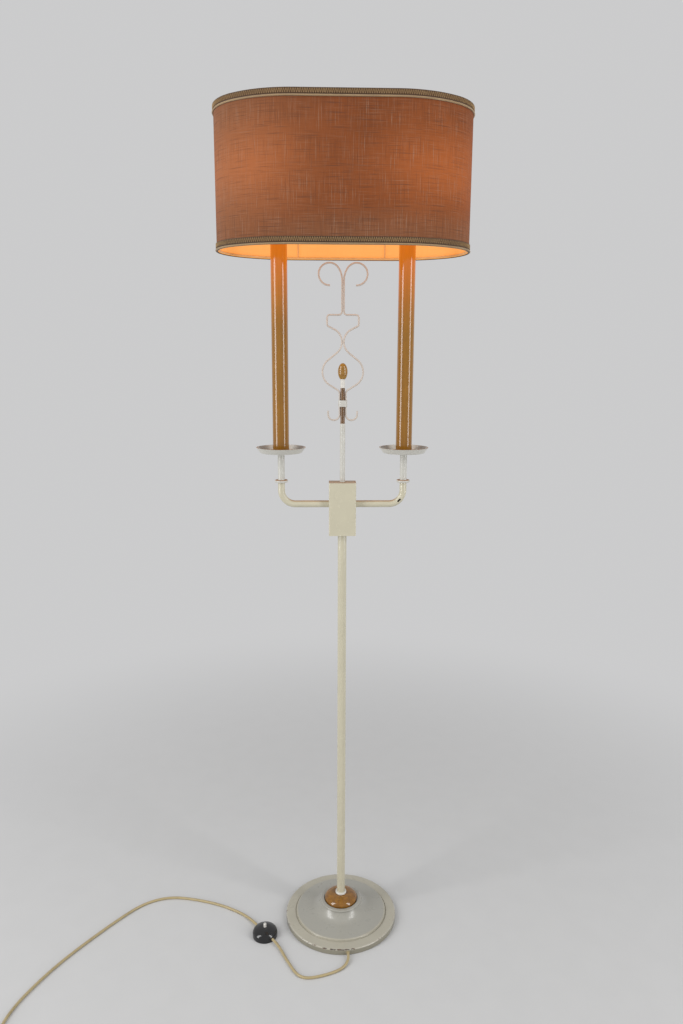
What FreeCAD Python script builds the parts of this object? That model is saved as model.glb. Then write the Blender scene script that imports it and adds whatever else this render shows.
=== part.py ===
import FreeCAD
import Part
import math
import os

# Floor lamp with two tall candles under one oval drum shade.
# Millimetres.  Origin on the floor under the pole, +Z up, +X to the right and -Y to the
# front, as the lamp is looked at.  Each node below is one piece, or one set of equal pieces.

V = FreeCAD.Vector

# ---------------------------------------------------------------- driving dimensions

# Clearances
SEAT = 0.05               # gap left between pieces that sit on each other
SLIP = 0.05               # radial gap of a piece pushed into or over another
SOFT = 0.3                # gap round the shade, which lifts off

# Pressed steel foot
FOOT_RADIUS = 110.8
FOOT_SHEET = 1.2          # steel thickness
FOOT_EDGE_LIFT = 0.8      # lower edge of the side wall above the floor
FOOT_RIM_HEIGHT = 11.5    # top of the side wall
FOOT_EDGE_ROUND = 2.0
FOOT_RIM_WIDTH = 18.6     # flat rim, from the side wall in to the groove
FOOT_RIM_RISE = 1.1       # how much the flat rim climbs towards the groove
FOOT_GROOVE_WIDTH = 2.6
FOOT_GROOVE_DEPTH = 1.5
FOOT_SHOULDER = 3.8       # step from the flat rim up to the dome
FOOT_DOME_SLOPE = 8.0     # degrees, the broad part of the dome
FOOT_CONE_SLOPE = 68.0    # degrees, the steep part below the lip
FOOT_FLARE_ROUND = 24.0   # radius where the broad and the steep part meet
FOOT_NECK_RADIUS = 40.0   # top of the steep part, under the lip
FOOT_LIP_RADIUS = 41.2
FOOT_LIP_INSIDE = 33.2
FOOT_LIP_TOP = 40.0
FOOT_LIP_THICK = 4.0
FOOT_SEAT_DEPTH = 4.2     # lip top down to the seat of the bun
FOOT_GROOVE_ROUND = 0.6
FOOT_SHOULDER_ROUND = 1.6
FOOT_LIP_UNDER_ROUND = 0.9
FOOT_LIP_ROUND = 1.8
FOOT_LIP_INNER_ROUND = 1.2

# Inside of the foot
PAD_THICK = 2.5
PAD_INSET = 0.5
CAVITY_RADIUS = 29.0      # hollow for the nut and the bend of the cord
CAVITY_ROOF = 21.5
CHANNEL_WIDTH = 8.6       # groove in the weight for the cord
GROMMET_HEIGHT = 6.2      # cord axis above the floor at the side wall
GROMMET_SIDE = 10.5       # cord axis beside the middle of the front
GROMMET_RADIUS = 3.6
GROMMET_FLANGE = 4.3
GROMMET_FLANGE_THICK = 1.0
GROMMET_CUT = 4.0         # depth of the hole cut in from the outer face
GROMMET_INSIDE = 1.5      # sleeve past the inner face of the wall
NIPPLE_RADIUS = 5.0       # threaded tubes that hold the lamp together
NIPPLE_BORE = 3.3
NIPPLE_FOOT_Z = 14.2      # lower end of the long threaded tube
NUT_ACROSS = 16.0
NUT_THICK = 5.0
NUT_SPARE = 2.0           # thread that shows past the nut
WASHER_RADIUS = 13.0
WASHER_THICK = 1.2

# Bun, collar and pole
BUN_RADIUS = 32.4
BUN_FOOT_RADIUS = 29.5
BUN_EQUATOR = 5.4         # widest place above the seat
BUN_HEIGHT = 15.6
BUN_TOP_RADIUS = 12.6     # flat top that carries the collar
COLLAR_RADIUS = 10.8
COLLAR_HEIGHT = 4.4
COLLAR_ROUND = 1.3
POLE_RADIUS = 8.1
POLE_WALL = 1.5
POLE_BUSH_LENGTH = 22.0
POLE_BUSH_LIP = 1.0       # bush set back from the end of the pole

# Centre block
BLOCK_WIDTH = 49.2
BLOCK_DEPTH = 31.6
BLOCK_BOTTOM = 799.1
BLOCK_HEIGHT = 97.6
BLOCK_WALL = 1.6
BLOCK_CORNER = 1.4
CAP_THICK = 3.0
TERMINAL_WIDTH = 15.0
TERMINAL_DEPTH = 12.0
TERMINAL_HEIGHT = 19.0
TERMINAL_SCREW = 1.8      # radius of its four screw wells
LEAD_RADIUS = 1.75        # leads in the arms
LEAD_IN_NIPPLE = 1.2      # bend of the cord ends this far up the threaded tube

# Arms and candle cups
ARM_SPREAD = 110.8        # candle axis from the pole axis
ARM_DROP = 40.5           # arm axis below the top of the block
ARM_RADIUS = 6.3
ARM_BEND = 25.0
ARM_INSIDE = 6.0          # length of arm inside the block wall
ARM_NUT_ACROSS = 17.0
ARM_NUT_THICK = 4.0
RING_RISE = 42.3          # decorative ring above the arm axis
RING_RADIUS = 12.2
RING_THICK = 4.2
RING_ROUND = 1.5
SLOT_LENGTH = 8.0         # oblong slot in the bend of the right arm
SLOT_WIDTH = 3.2
DISH_UNDER = 92.4         # boss under the drip dish above the arm axis
DISH_BOSS_DROP = 1.8
DISH_BOSS_RADIUS = 7.0
DISH_BOSS_FOOT = 11.5
DISH_BOSS_EDGE = 0.6
DISH_BOSS_FLARE = 2.0
DISH_FLOOR_RADIUS = 37.4
DISH_RADIUS = 44.2
DISH_DEPTH = 11.5         # boss to rim
DISH_SHEET = 1.2
DISH_ROUND = 2.2
CUP_HEIGHT = 8.0
CUP_NIPPLE_DOWN = 20.0    # threaded tube inside the riser
CUP_NIPPLE_UP = 6.0       # and above the cup

# Candles, lamp holders and bulbs
CANDLE_RADIUS = 14.5
CANDLE_WALL = 1.1
CANDLE_TOP = 1370.0
SEAT_RADIUS = 26.5        # disc that carries the shade
SEAT_THICK = 1.6
HOLDER_RADIUS = 12.6
HOLDER_DEPTH = 42.0
HOLDER_FLANGE = 15.5
HOLDER_FLANGE_THICK = 2.4
HOLDER_BORE = 8.1
HOLDER_FLOOR = 10.0
SHELL_WALL = 0.5
SHELL_DROP = 2.0          # screw shell below the top of its holder
BULB_CAP_RADIUS = 6.9
BULB_CAP_LENGTH = 24.0
BULB_CAP_ABOVE = 1.0      # cap above the top of its holder
BULB_CONTACT_RADIUS = 2.2
BULB_CONTACT_CONE = 3.0   # height of the cone round the contact
BULB_CONE_SHARE = 0.4     # its narrow end as a share of the cap
BULB_RADIUS = 17.5
BULB_LENGTH = 74.0        # glass above the cap
BULB_NECK_FLARE = 1.4     # glass wider than the cap at the first of these heights
BULB_NECK_SHARE = 0.09
# Rest of the glass as shares of its length and of its radius
BULB_FORM = [(0.25, 0.88), (0.40, 1.0), (0.60, 0.86), (0.80, 0.52), (0.93, 0.24)]

# Stem, bead and wire scroll
STEM_RADIUS = 4.8
STEM_BORE = 4.0
STEM_LENGTH = 106.0
STUD_UP = 18.0
STUD_DOWN = 9.0
STUD_NUT_ACROSS = 12.8
ROD_RADIUS = 3.95
ROD_IN_STEM = 18.0
BEAD_DROP = 12.1          # foot of the bead below the middle of the loop round it
BEAD_RADIUS = 8.65
BEAD_FOOT_RADIUS = 4.6
BEAD_LOWER = 13.1         # foot to widest place
BEAD_UPPER = 14.8         # widest place to tip
BEAD_SOCKET = 6.0
WIRE_RADIUS = 1.55
WIRE_GAP = 0.05           # half the gap between the two wires where they touch
CLASP_RISE = 14.0         # clasp above the middle of the lower hook
CLASP_HEIGHT = 11.2
CLASP_SHEET = 1.1
CLASP_END_SHARE = 0.62    # bulge of its ends as a share of half its width

# The scroll is bent round pegs.  Sizes are on the middle line of the right-hand wire.
HOOK_RADIUS = 10.2
HOOK_RISE = 16.05         # middle of the lower hook above the stem
HOOK_TIP = 6.4            # straight end of the hook
NECK_RADIUS = 8.0
NECK_RISE = 36.7          # neck above the hook
BULB_LOOP_RADIUS = 26.5
BULB_LOOP_RISE = 38.0     # loop above the neck
BULB_LOOP_REACH = 36.1    # widest place of the loop from the middle
WAIST_RADIUS = 24.0
WAIST_RISE = 52.0         # waist above the loop
BOX_REACH = 27.8          # upright sides of the square loop
BOX_CORNER = 5.0
BOX_RISE = 31.0           # lower corner of the square loop above the waist
BOX_HEIGHT = 15.3
TWIN_CORNER = 6.0         # where the twin wires turn out into the square loop
CURL_RADIUS = 18.8
CURL_REACH = 42.4         # widest place of the top curl
CURL_RISE = 68.5          # curl above the top of the square loop
CURL_LEAD_RADIUS = 38.0   # easy bend that leads into the curl
CURL_END_ANGLE = -93.0    # degrees round the curl where the wire stops

# Shade
SHADE_LENGTH = 431.6
SHADE_WIDTH = 209.2
SHADE_END = 135.0         # length of each rounded end
SHADE_END_RADIUS = 90.0   # tight bend at the far left and right
SHADE_BOTTOM = 1295.0
SHADE_HEIGHT = 229.0
COVER_THICK = 0.9
LINER_THICK = 0.6
TRIM_HEIGHT = 12.5
TRIM_THICK = 2.2
TRIM_FOLD = 1.0           # braid folded over the edge of the shade
FRAME_WIRE = 1.5          # radius
CARRIER_WIDTH = 12.0
CARRIER_THICK = 1.5
CARRIER_RING = 29.0       # outer radius of the two rings
CARRIER_HOLE = 22.0
RIB_SET_IN = 0.8          # front and back ribs short of the ends of the straight sides
FRAME_SET_IN = 1.0        # wire frame short of the edges of the cloth

# Cord, foot switch and plug
CORD_RADIUS = 2.5
CORD_LIFT = 0.1
SWITCH_X = -151.0
SWITCH_Y = -54.0
SWITCH_TURN = 130.0       # degrees, direction of the cord through the switch
SWITCH_RADIUS = 24.4
SWITCH_BASE_THICK = 2.4
SWITCH_BASE_EDGE = 0.9    # base plate inside the dome
SWITCH_DOME_HEIGHT = 16.5
SWITCH_DOME_TOP = 10.0    # where the slope of the dome would meet its flat top
SWITCH_SHEET = 1.8
SWITCH_EDGE_LIFT = 0.4
SWITCH_CORD_Z = 5.6
SWITCH_SKIRT = 12.5       # where the side would meet the slope of the dome
SWITCH_SIDE_ROUND = 10.0
SWITCH_CROWN_ROUND = 25.0
BUTTON_RADIUS = 3.0
BUTTON_ABOVE = 7.0
BUTTON_STROKE = 3.0
BUTTON_FLANGE = 1.6
BUTTON_FLANGE_WIDTH = 1.8
BUTTON_GUIDE = 0.1        # gap round the button in its mouth
BUTTON_EDGE = 1.0
SPRING_POST = 2.6
SPRING_POST_GAP = 1.0     # between the post and the pressed button
PLUG_LENGTH = 36.0
PLUG_WIDTH = 35.0
PLUG_THICK = 13.6
PLUG_NOSE = 12.0          # width at the cord end
PLUG_TAPER = 21.6         # length over which it widens
PLUG_ROUND = 2.4
PLUG_TAIL = 26.0          # tapered strain relief
PLUG_TAIL_TIP = 3.2       # its radius at the cord
PLUG_TAIL_RADIUS = 4.4    # and at the body
PIN_RADIUS = 2.0
PIN_LENGTH = 19.0
PIN_SPREAD = 9.3
PIN_SET = 6.0             # length of pin in the body
PIN_ROUND = 1.4

# Loops of the put-away length
COIL_MEAN_RADIUS = 30.0
COIL_PITCH = 5.6          # step between turns and between layers
COIL_TURNS = 6.25
COIL_STEPS_PER_TURN = 4

# Route of the cord, chosen by hand: foot to switch, then switch to coil.  The straight ends
# at the grommet and at the switch are added to these points.
CORD_FLOOR_Z = CORD_RADIUS + CORD_LIFT
CORD_ROUTE_FRONT = [
    (9.2, -131.6, 4.6),
    (3.5, -141.0, 3.0),
    (-6.3, -149.5, CORD_FLOOR_Z),
    (-24.4, -158.0, CORD_FLOOR_Z),
    (-46.0, -164.5, CORD_FLOOR_Z),
    (-60.0, -167.0, CORD_FLOOR_Z),
    (-71.5, -166.5, CORD_FLOOR_Z),
    (-81.5, -161.5, CORD_FLOOR_Z),
    (-89.5, -152.0, CORD_FLOOR_Z),
    (-97.0, -139.0, CORD_FLOOR_Z),
    (-108.0, -118.0, CORD_FLOOR_Z),
    (-119.5, -94.0, 3.4),
]
CORD_ROUTE_BACK = [
    (-184.5, -12.0, 3.4),
    (-207.0, 7.5, CORD_FLOOR_Z),
    (-252.0, 32.0, CORD_FLOOR_Z),
    (-308.0, 49.5, CORD_FLOOR_Z),
    (-360.0, 57.0, CORD_FLOOR_Z),
    (-409.0, 38.0, CORD_FLOOR_Z),
    (-449.0, -6.0, CORD_FLOOR_Z),
    (-490.0, -60.0, CORD_FLOOR_Z),
    (-528.0, -114.5, CORD_FLOOR_Z),
    (-558.0, -169.5, CORD_FLOOR_Z),
    (-579.5, -222.0, CORD_FLOOR_Z),
    (-586.0, -270.0, CORD_FLOOR_Z),
]
CORD_ROUTE_END = (-586.0, -318.0, CORD_FLOOR_Z)
CORD_LEAD_OUT = 10.0      # straight start at the foot and at the switch

# ---------------------------------------------------------------- derived heights

FOOT_SEAT_Z = FOOT_LIP_TOP - FOOT_SEAT_DEPTH
BUN_BOTTOM = FOOT_SEAT_Z + SEAT
BUN_TOP = BUN_BOTTOM + BUN_HEIGHT
POLE_BOTTOM = BUN_TOP + SEAT
POLE_TOP = BLOCK_BOTTOM - SEAT
BLOCK_TOP = BLOCK_BOTTOM + BLOCK_HEIGHT
ARM_Z = BLOCK_TOP - ARM_DROP
RING_Z = ARM_Z + RING_RISE
BOSS_Z = ARM_Z + DISH_UNDER
DISH_FLOOR_Z = BOSS_Z + DISH_BOSS_DROP + DISH_SHEET
CANDLE_BOTTOM = DISH_FLOOR_Z + SEAT
HOLDER_Z = CANDLE_TOP + SEAT + SEAT_THICK + SEAT
CARRIER_Z = CANDLE_TOP + SEAT + SEAT_THICK + SOFT
STEM_BOTTOM = BLOCK_TOP + SEAT
STEM_TOP = STEM_BOTTOM + STEM_LENGTH
HOOK_HEIGHT = STEM_TOP + HOOK_RISE
CLASP_BOTTOM = HOOK_HEIGHT + CLASP_RISE
NECK_HEIGHT = HOOK_HEIGHT + NECK_RISE
BULB_LOOP_HEIGHT = NECK_HEIGHT + BULB_LOOP_RISE
BEAD_BOTTOM = BULB_LOOP_HEIGHT - BEAD_DROP
WAIST_HEIGHT = BULB_LOOP_HEIGHT + WAIST_RISE
BOX_LOW = WAIST_HEIGHT + BOX_RISE
BOX_TOP = BOX_LOW + BOX_HEIGHT
CURL_HEIGHT = BOX_TOP + CURL_RISE
SHADE_TOP = SHADE_BOTTOM + SHADE_HEIGHT
GROMMET_ANGLE = math.atan2(-math.sqrt(FOOT_RADIUS ** 2 - GROMMET_SIDE ** 2), GROMMET_SIDE)
THREAD_HOLE = NIPPLE_RADIUS + SLIP
ARM_BORE = THREAD_HOLE

nodes = {}


def keep(name, *solids):
    """Store one node as its solid, or as a group of equal solids."""
    nodes[name] = solids[0] if len(solids) == 1 else Part.makeCompound(list(solids))


# ---------------------------------------------------------------- shape helpers


def tube(outer, inner, bottom, top, x=0.0, y=0.0):
    """Upright round tube."""
    body = Part.makeCylinder(outer, top - bottom, V(x, y, bottom))
    return body.cut(Part.makeCylinder(inner, top - bottom, V(x, y, bottom)))


def hexagon_nut(across, bore, bottom, thick, x=0.0, y=0.0):
    """Upright hexagon nut."""
    reach = across / math.sqrt(3.0)
    corners = [V(x + reach * math.cos(math.radians(60 * k)),
                 y + reach * math.sin(math.radians(60 * k)), bottom) for k in range(7)]
    body = Part.Face(Part.makePolygon(corners)).extrude(V(0, 0, thick))
    return body.cut(Part.makeCylinder(bore, thick, V(x, y, bottom)))


def rounded_edges(corners):
    """Lines through (r, z, rounding) corners, with a tangent arc at each rounded one."""
    edges = []
    start = V(corners[0][0], 0, corners[0][1])
    for before, here, after in zip(corners, corners[1:], corners[2:]):
        corner = V(here[0], 0, here[1])
        back = (V(before[0], 0, before[1]) - corner).normalize()
        ahead = (V(after[0], 0, after[1]) - corner).normalize()
        half = back.getAngle(ahead) / 2.0
        if here[2] <= 0 or abs(half - math.pi / 2) < 1e-4:
            edges.append(Part.makeLine(start, corner))
            start = corner
            continue
        cut = here[2] / math.tan(half)
        first = corner + back * cut
        last = corner + ahead * cut
        centre = corner + (back + ahead).normalize() * (here[2] / math.sin(half))
        middle = centre + (corner - centre).normalize() * here[2]
        if (first - start).Length > 1e-6:
            edges.append(Part.makeLine(start, first))
        edges.append(Part.Arc(first, middle, last).toShape())
        start = last
    edges.append(Part.makeLine(start, V(corners[-1][0], 0, corners[-1][1])))
    return edges


def shifted(corners, distance):
    """The same open outline moved to the left of its direction of travel."""
    result = []
    for k, (x, z, rounding) in enumerate(corners):
        normals = []
        for before, after in ((k - 1, k), (k, k + 1)):
            if before >= 0 and after < len(corners):
                dx = corners[after][0] - corners[before][0]
                dz = corners[after][1] - corners[before][1]
                length = math.hypot(dx, dz)
                normals.append(V(-dz / length, 0, dx / length))
        first, last = normals[0], normals[-1]
        move = (first + last) * (distance / (1 + first.dot(last)))
        turn = first.x * last.z - first.z * last.x
        if rounding > 0:
            rounding = max(rounding - distance * math.copysign(1, turn), 0.1)
        result.append((x + move.x, z + move.z, rounding))
    return result


def turned(*outlines):
    """Solid of revolution about Z, from open outlines joined end to end by straight lines."""
    edges = []
    ends = []
    for outline in outlines:
        edges.extend(rounded_edges(outline))
        ends.append((V(outline[0][0], 0, outline[0][1]), V(outline[-1][0], 0, outline[-1][1])))
    for k, (_, stop) in enumerate(ends):
        begin = ends[(k + 1) % len(ends)][0]
        if (begin - stop).Length > 1e-6:
            edges.append(Part.makeLine(stop, begin))
    face = Part.Face(Part.Wire(Part.__sortEdges__(edges)))
    return face.revolve(V(0, 0, 0), V(0, 0, 1), 360)


def placed(shape, x, y=0.0, z=0.0):
    """Copy of a shape moved from the pole axis to its place."""
    copy = shape.copy()
    copy.translate(V(x, y, z))
    return copy


def swept(edges, radius):
    """Round bar along edges that follow each other from the first one's start."""
    first = edges[0]
    ring = Part.Wire(Part.Circle(first.valueAt(first.FirstParameter),
                                 first.tangentAt(first.FirstParameter), radius).toShape())
    return Part.Wire(edges).makePipeShell([ring], True, False)


def arc_path(points, share=0.45):
    """Straight runs through the points, joined by the largest tangent arcs they allow."""
    edges = []
    radii = []
    points = [V(*p) for p in points]
    start = points[0]
    for before, here, after in zip(points, points[1:], points[2:]):
        back = before - here
        ahead = after - here
        cut = share * min(back.Length, ahead.Length)
        back.normalize()
        ahead.normalize()
        half_turn = (math.pi - back.getAngle(ahead)) / 2.0
        radius = cut / math.tan(half_turn)
        radii.append(radius)
        centre = here + (back + ahead).normalize() * (radius / math.cos(half_turn))
        first = here + back * cut
        last = here + ahead * cut
        middle = centre + (here - centre).normalize() * radius
        edges.append(Part.LineSegment(start, first).toShape())
        edges.append(Part.Arc(first, middle, last).toShape())
        start = last
    edges.append(Part.LineSegment(start, points[-1]).toShape())
    return edges, radii


def biarc(start, start_way, stop, stop_way):
    """Two arcs that leave start along start_way and reach stop along stop_way."""
    chord = stop - start
    ways = start_way + stop_way
    a = 2.0 * (1.0 - start_way.dot(stop_way))
    b = 2.0 * chord.dot(ways)
    c = -chord.dot(chord)
    reach = -c / b if abs(a) < 1e-12 else (-b + math.sqrt(b * b - 4 * a * c)) / (2 * a)
    near = start + start_way * reach
    far = stop - stop_way * reach
    join = (near + far) * 0.5
    edges = []
    for begin, corner, end in ((start, near, join), (join, far, stop)):
        back = (begin - corner).normalize()
        ahead = (end - corner).normalize()
        half = back.getAngle(ahead) / 2.0
        radius = reach * math.tan(half)
        centre = corner + (back + ahead).normalize() * (reach / math.cos(half))
        middle = centre + (corner - centre).normalize() * radius
        edges.append(Part.Arc(begin, middle, end).toShape())
    return edges


# ---------------------------------------------------------------- foot


def foot_outline():
    """Outside and inside of the pressed foot, as open outlines."""
    groove = FOOT_RADIUS - FOOT_RIM_WIDTH
    rim_z = FOOT_RIM_HEIGHT + FOOT_RIM_RISE
    groove_z = rim_z - FOOT_GROOVE_DEPTH
    shoulder = groove - FOOT_GROOVE_WIDTH
    shoulder_z = rim_z + FOOT_SHOULDER
    neck_z = FOOT_LIP_TOP - FOOT_LIP_THICK
    # The broad slope and the steep slope meet where both reach the same height.
    broad = math.tan(math.radians(FOOT_DOME_SLOPE))
    steep = math.tan(math.radians(FOOT_CONE_SLOPE))
    meet = (neck_z - shoulder_z + FOOT_NECK_RADIUS * steep - shoulder * broad) / (steep - broad)
    meet_z = shoulder_z + (shoulder - meet) * broad
    dome = [
        (shoulder, shoulder_z, FOOT_SHOULDER_ROUND),
        (meet, meet_z, FOOT_FLARE_ROUND),
        (FOOT_NECK_RADIUS, neck_z, 0),
    ]
    outside = [
        (FOOT_RADIUS, FOOT_EDGE_LIFT, 0),
        (FOOT_RADIUS, FOOT_RIM_HEIGHT, FOOT_EDGE_ROUND),
        (groove, rim_z, 0),
        (groove - FOOT_GROOVE_WIDTH / 2, groove_z, FOOT_GROOVE_ROUND),
    ] + dome + [
        (FOOT_LIP_RADIUS, neck_z, FOOT_LIP_UNDER_ROUND),
        (FOOT_LIP_RADIUS, FOOT_LIP_TOP, FOOT_LIP_ROUND),
        (FOOT_LIP_INSIDE, FOOT_LIP_TOP, FOOT_LIP_INNER_ROUND),
        (FOOT_LIP_INSIDE, FOOT_SEAT_Z, 0),
        (THREAD_HOLE, FOOT_SEAT_Z, 0),
    ]
    under_dome = shifted(dome, FOOT_SHEET)
    under_seat = FOOT_SEAT_Z - FOOT_SHEET
    under_neck = under_dome[2][0] + (under_dome[2][1] - under_seat) / steep
    under_rim = groove_z - FOOT_SHEET
    inside = [
        (THREAD_HOLE, under_seat, 0),
        (under_neck, under_seat, 0),
        under_dome[1],
        (shoulder - FOOT_SHEET, under_dome[0][1], 0),
        (shoulder - FOOT_SHEET, under_rim, 0),
        (FOOT_RADIUS - FOOT_SHEET, under_rim, FOOT_EDGE_ROUND - FOOT_SHEET),
        (FOOT_RADIUS - FOOT_SHEET, FOOT_EDGE_LIFT, 0),
    ]
    return outside, inside


def cord_hole(radius, length):
    """Round bar along the cord's way out through the side wall of the foot."""
    way = V(math.cos(GROMMET_ANGLE), math.sin(GROMMET_ANGLE), 0)
    start = way * (FOOT_RADIUS - length) + V(0, 0, GROMMET_HEIGHT)
    return Part.makeCylinder(radius, 2 * length, start, way)


def build_foot():
    outside, inside = foot_outline()
    shell = turned(outside, inside)
    keep("foot_shell", shell.cut(cord_hole(GROMMET_RADIUS + SLIP, GROMMET_CUT)))

    pad_radius = FOOT_RADIUS - FOOT_SHEET - PAD_INSET
    keep("foot_pad", Part.makeCylinder(pad_radius, PAD_THICK))

    # The weight fills the foot from the pad up to the steel, and carries the shell.
    under = shifted(inside, -SEAT)
    floor = PAD_THICK + SEAT
    wall = FOOT_RADIUS - FOOT_SHEET - PAD_INSET
    top = under[:-2] + [(wall, under[-2][1], 0), (wall, floor, 0)]
    bottom = [
        (CAVITY_RADIUS, floor, 0),
        (CAVITY_RADIUS, CAVITY_ROOF, 0),
        (THREAD_HOLE, CAVITY_ROOF, 0),
    ]
    weight = turned(top, bottom)
    way = V(math.cos(GROMMET_ANGLE), math.sin(GROMMET_ANGLE), 0)
    channel_top = GROMMET_HEIGHT + CHANNEL_WIDTH / 2
    channel = Part.makeBox(FOOT_RADIUS, CHANNEL_WIDTH, channel_top, V(0, -CHANNEL_WIDTH / 2, 0))
    channel.rotate(V(0, 0, 0), V(0, 0, 1), math.degrees(GROMMET_ANGLE))
    weight = weight.cut(channel)
    keep("foot_weight", weight)

    # Rubber grommet in the side wall: a flange that lies on the round wall, and a sleeve.
    start = way * (FOOT_RADIUS - GROMMET_CUT) + V(0, 0, GROMMET_HEIGHT)
    flange = Part.makeCylinder(GROMMET_FLANGE, GROMMET_CUT + SEAT + GROMMET_FLANGE_THICK, start, way)
    flange = flange.cut(Part.makeCylinder(FOOT_RADIUS + SEAT, 2 * FOOT_RIM_HEIGHT))
    sleeve = Part.makeCylinder(GROMMET_RADIUS, GROMMET_CUT + SEAT, start, way)
    sleeve_end = FOOT_RADIUS - FOOT_SHEET - GROMMET_INSIDE
    sleeve = sleeve.cut(Part.makeCylinder(sleeve_end, 2 * FOOT_RIM_HEIGHT))
    bore = cord_hole(CORD_RADIUS + SLIP, 2 * GROMMET_CUT)
    keep("cord_grommet", flange.fuse(sleeve).cut(bore).removeSplitter())

    washer_top = CAVITY_ROOF - SEAT
    keep("foot_washer", tube(WASHER_RADIUS, THREAD_HOLE, washer_top - WASHER_THICK, washer_top))


# ---------------------------------------------------------------- bun, collar, pole


def quarter(centre, radial, upright, start_deg, stop_deg):
    """Elliptic arc in the XZ plane, from start to stop, as an edge."""
    points = []
    for k in range(9):
        angle = math.radians(start_deg + (stop_deg - start_deg) * k / 8.0)
        points.append(V(centre[0] + radial * math.cos(angle), 0, centre[1] + upright * math.sin(angle)))
    curve = Part.BSplineCurve()
    curve.interpolate(points)
    return curve.toShape()


def build_bun_and_pole():
    equator = BUN_BOTTOM + BUN_EQUATOR
    crown = quarter((BUN_TOP_RADIUS, equator), BUN_RADIUS - BUN_TOP_RADIUS, BUN_TOP - equator, 90, 0)
    foot = quarter((BUN_FOOT_RADIUS, equator), BUN_RADIUS - BUN_FOOT_RADIUS, equator - BUN_BOTTOM, 0, -90)
    rim = [
        Part.makeLine(V(THREAD_HOLE, 0, BUN_BOTTOM), V(THREAD_HOLE, 0, BUN_TOP)),
        Part.makeLine(V(THREAD_HOLE, 0, BUN_TOP), V(BUN_TOP_RADIUS, 0, BUN_TOP)),
        crown,
        foot,
        Part.makeLine(V(BUN_FOOT_RADIUS, 0, BUN_BOTTOM), V(THREAD_HOLE, 0, BUN_BOTTOM)),
    ]
    face = Part.Face(Part.Wire(Part.__sortEdges__(rim)))
    keep("foot_bun", face.revolve(V(0, 0, 0), V(0, 0, 1), 360))

    keep("pole_collar", turned([
        (POLE_RADIUS + SLIP, POLE_BOTTOM, 0),
        (COLLAR_RADIUS, POLE_BOTTOM, COLLAR_ROUND),
        (COLLAR_RADIUS, POLE_BOTTOM + COLLAR_HEIGHT, COLLAR_ROUND),
        (POLE_RADIUS + SLIP, POLE_BOTTOM + COLLAR_HEIGHT, 0),
    ]))
    bore = POLE_RADIUS - POLE_WALL
    keep("pole_tube", tube(POLE_RADIUS, bore, POLE_BOTTOM, POLE_TOP))
    lower = POLE_BOTTOM + POLE_BUSH_LIP
    upper = POLE_TOP - POLE_BUSH_LIP
    keep("pole_bushes",
         tube(bore - SLIP, THREAD_HOLE, lower, lower + POLE_BUSH_LENGTH),
         tube(bore - SLIP, THREAD_HOLE, upper - POLE_BUSH_LENGTH, upper))
    keep("foot_nipple", tube(NIPPLE_RADIUS, NIPPLE_BORE, NIPPLE_FOOT_Z, lower + POLE_BUSH_LENGTH))


# ---------------------------------------------------------------- centre block


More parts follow.
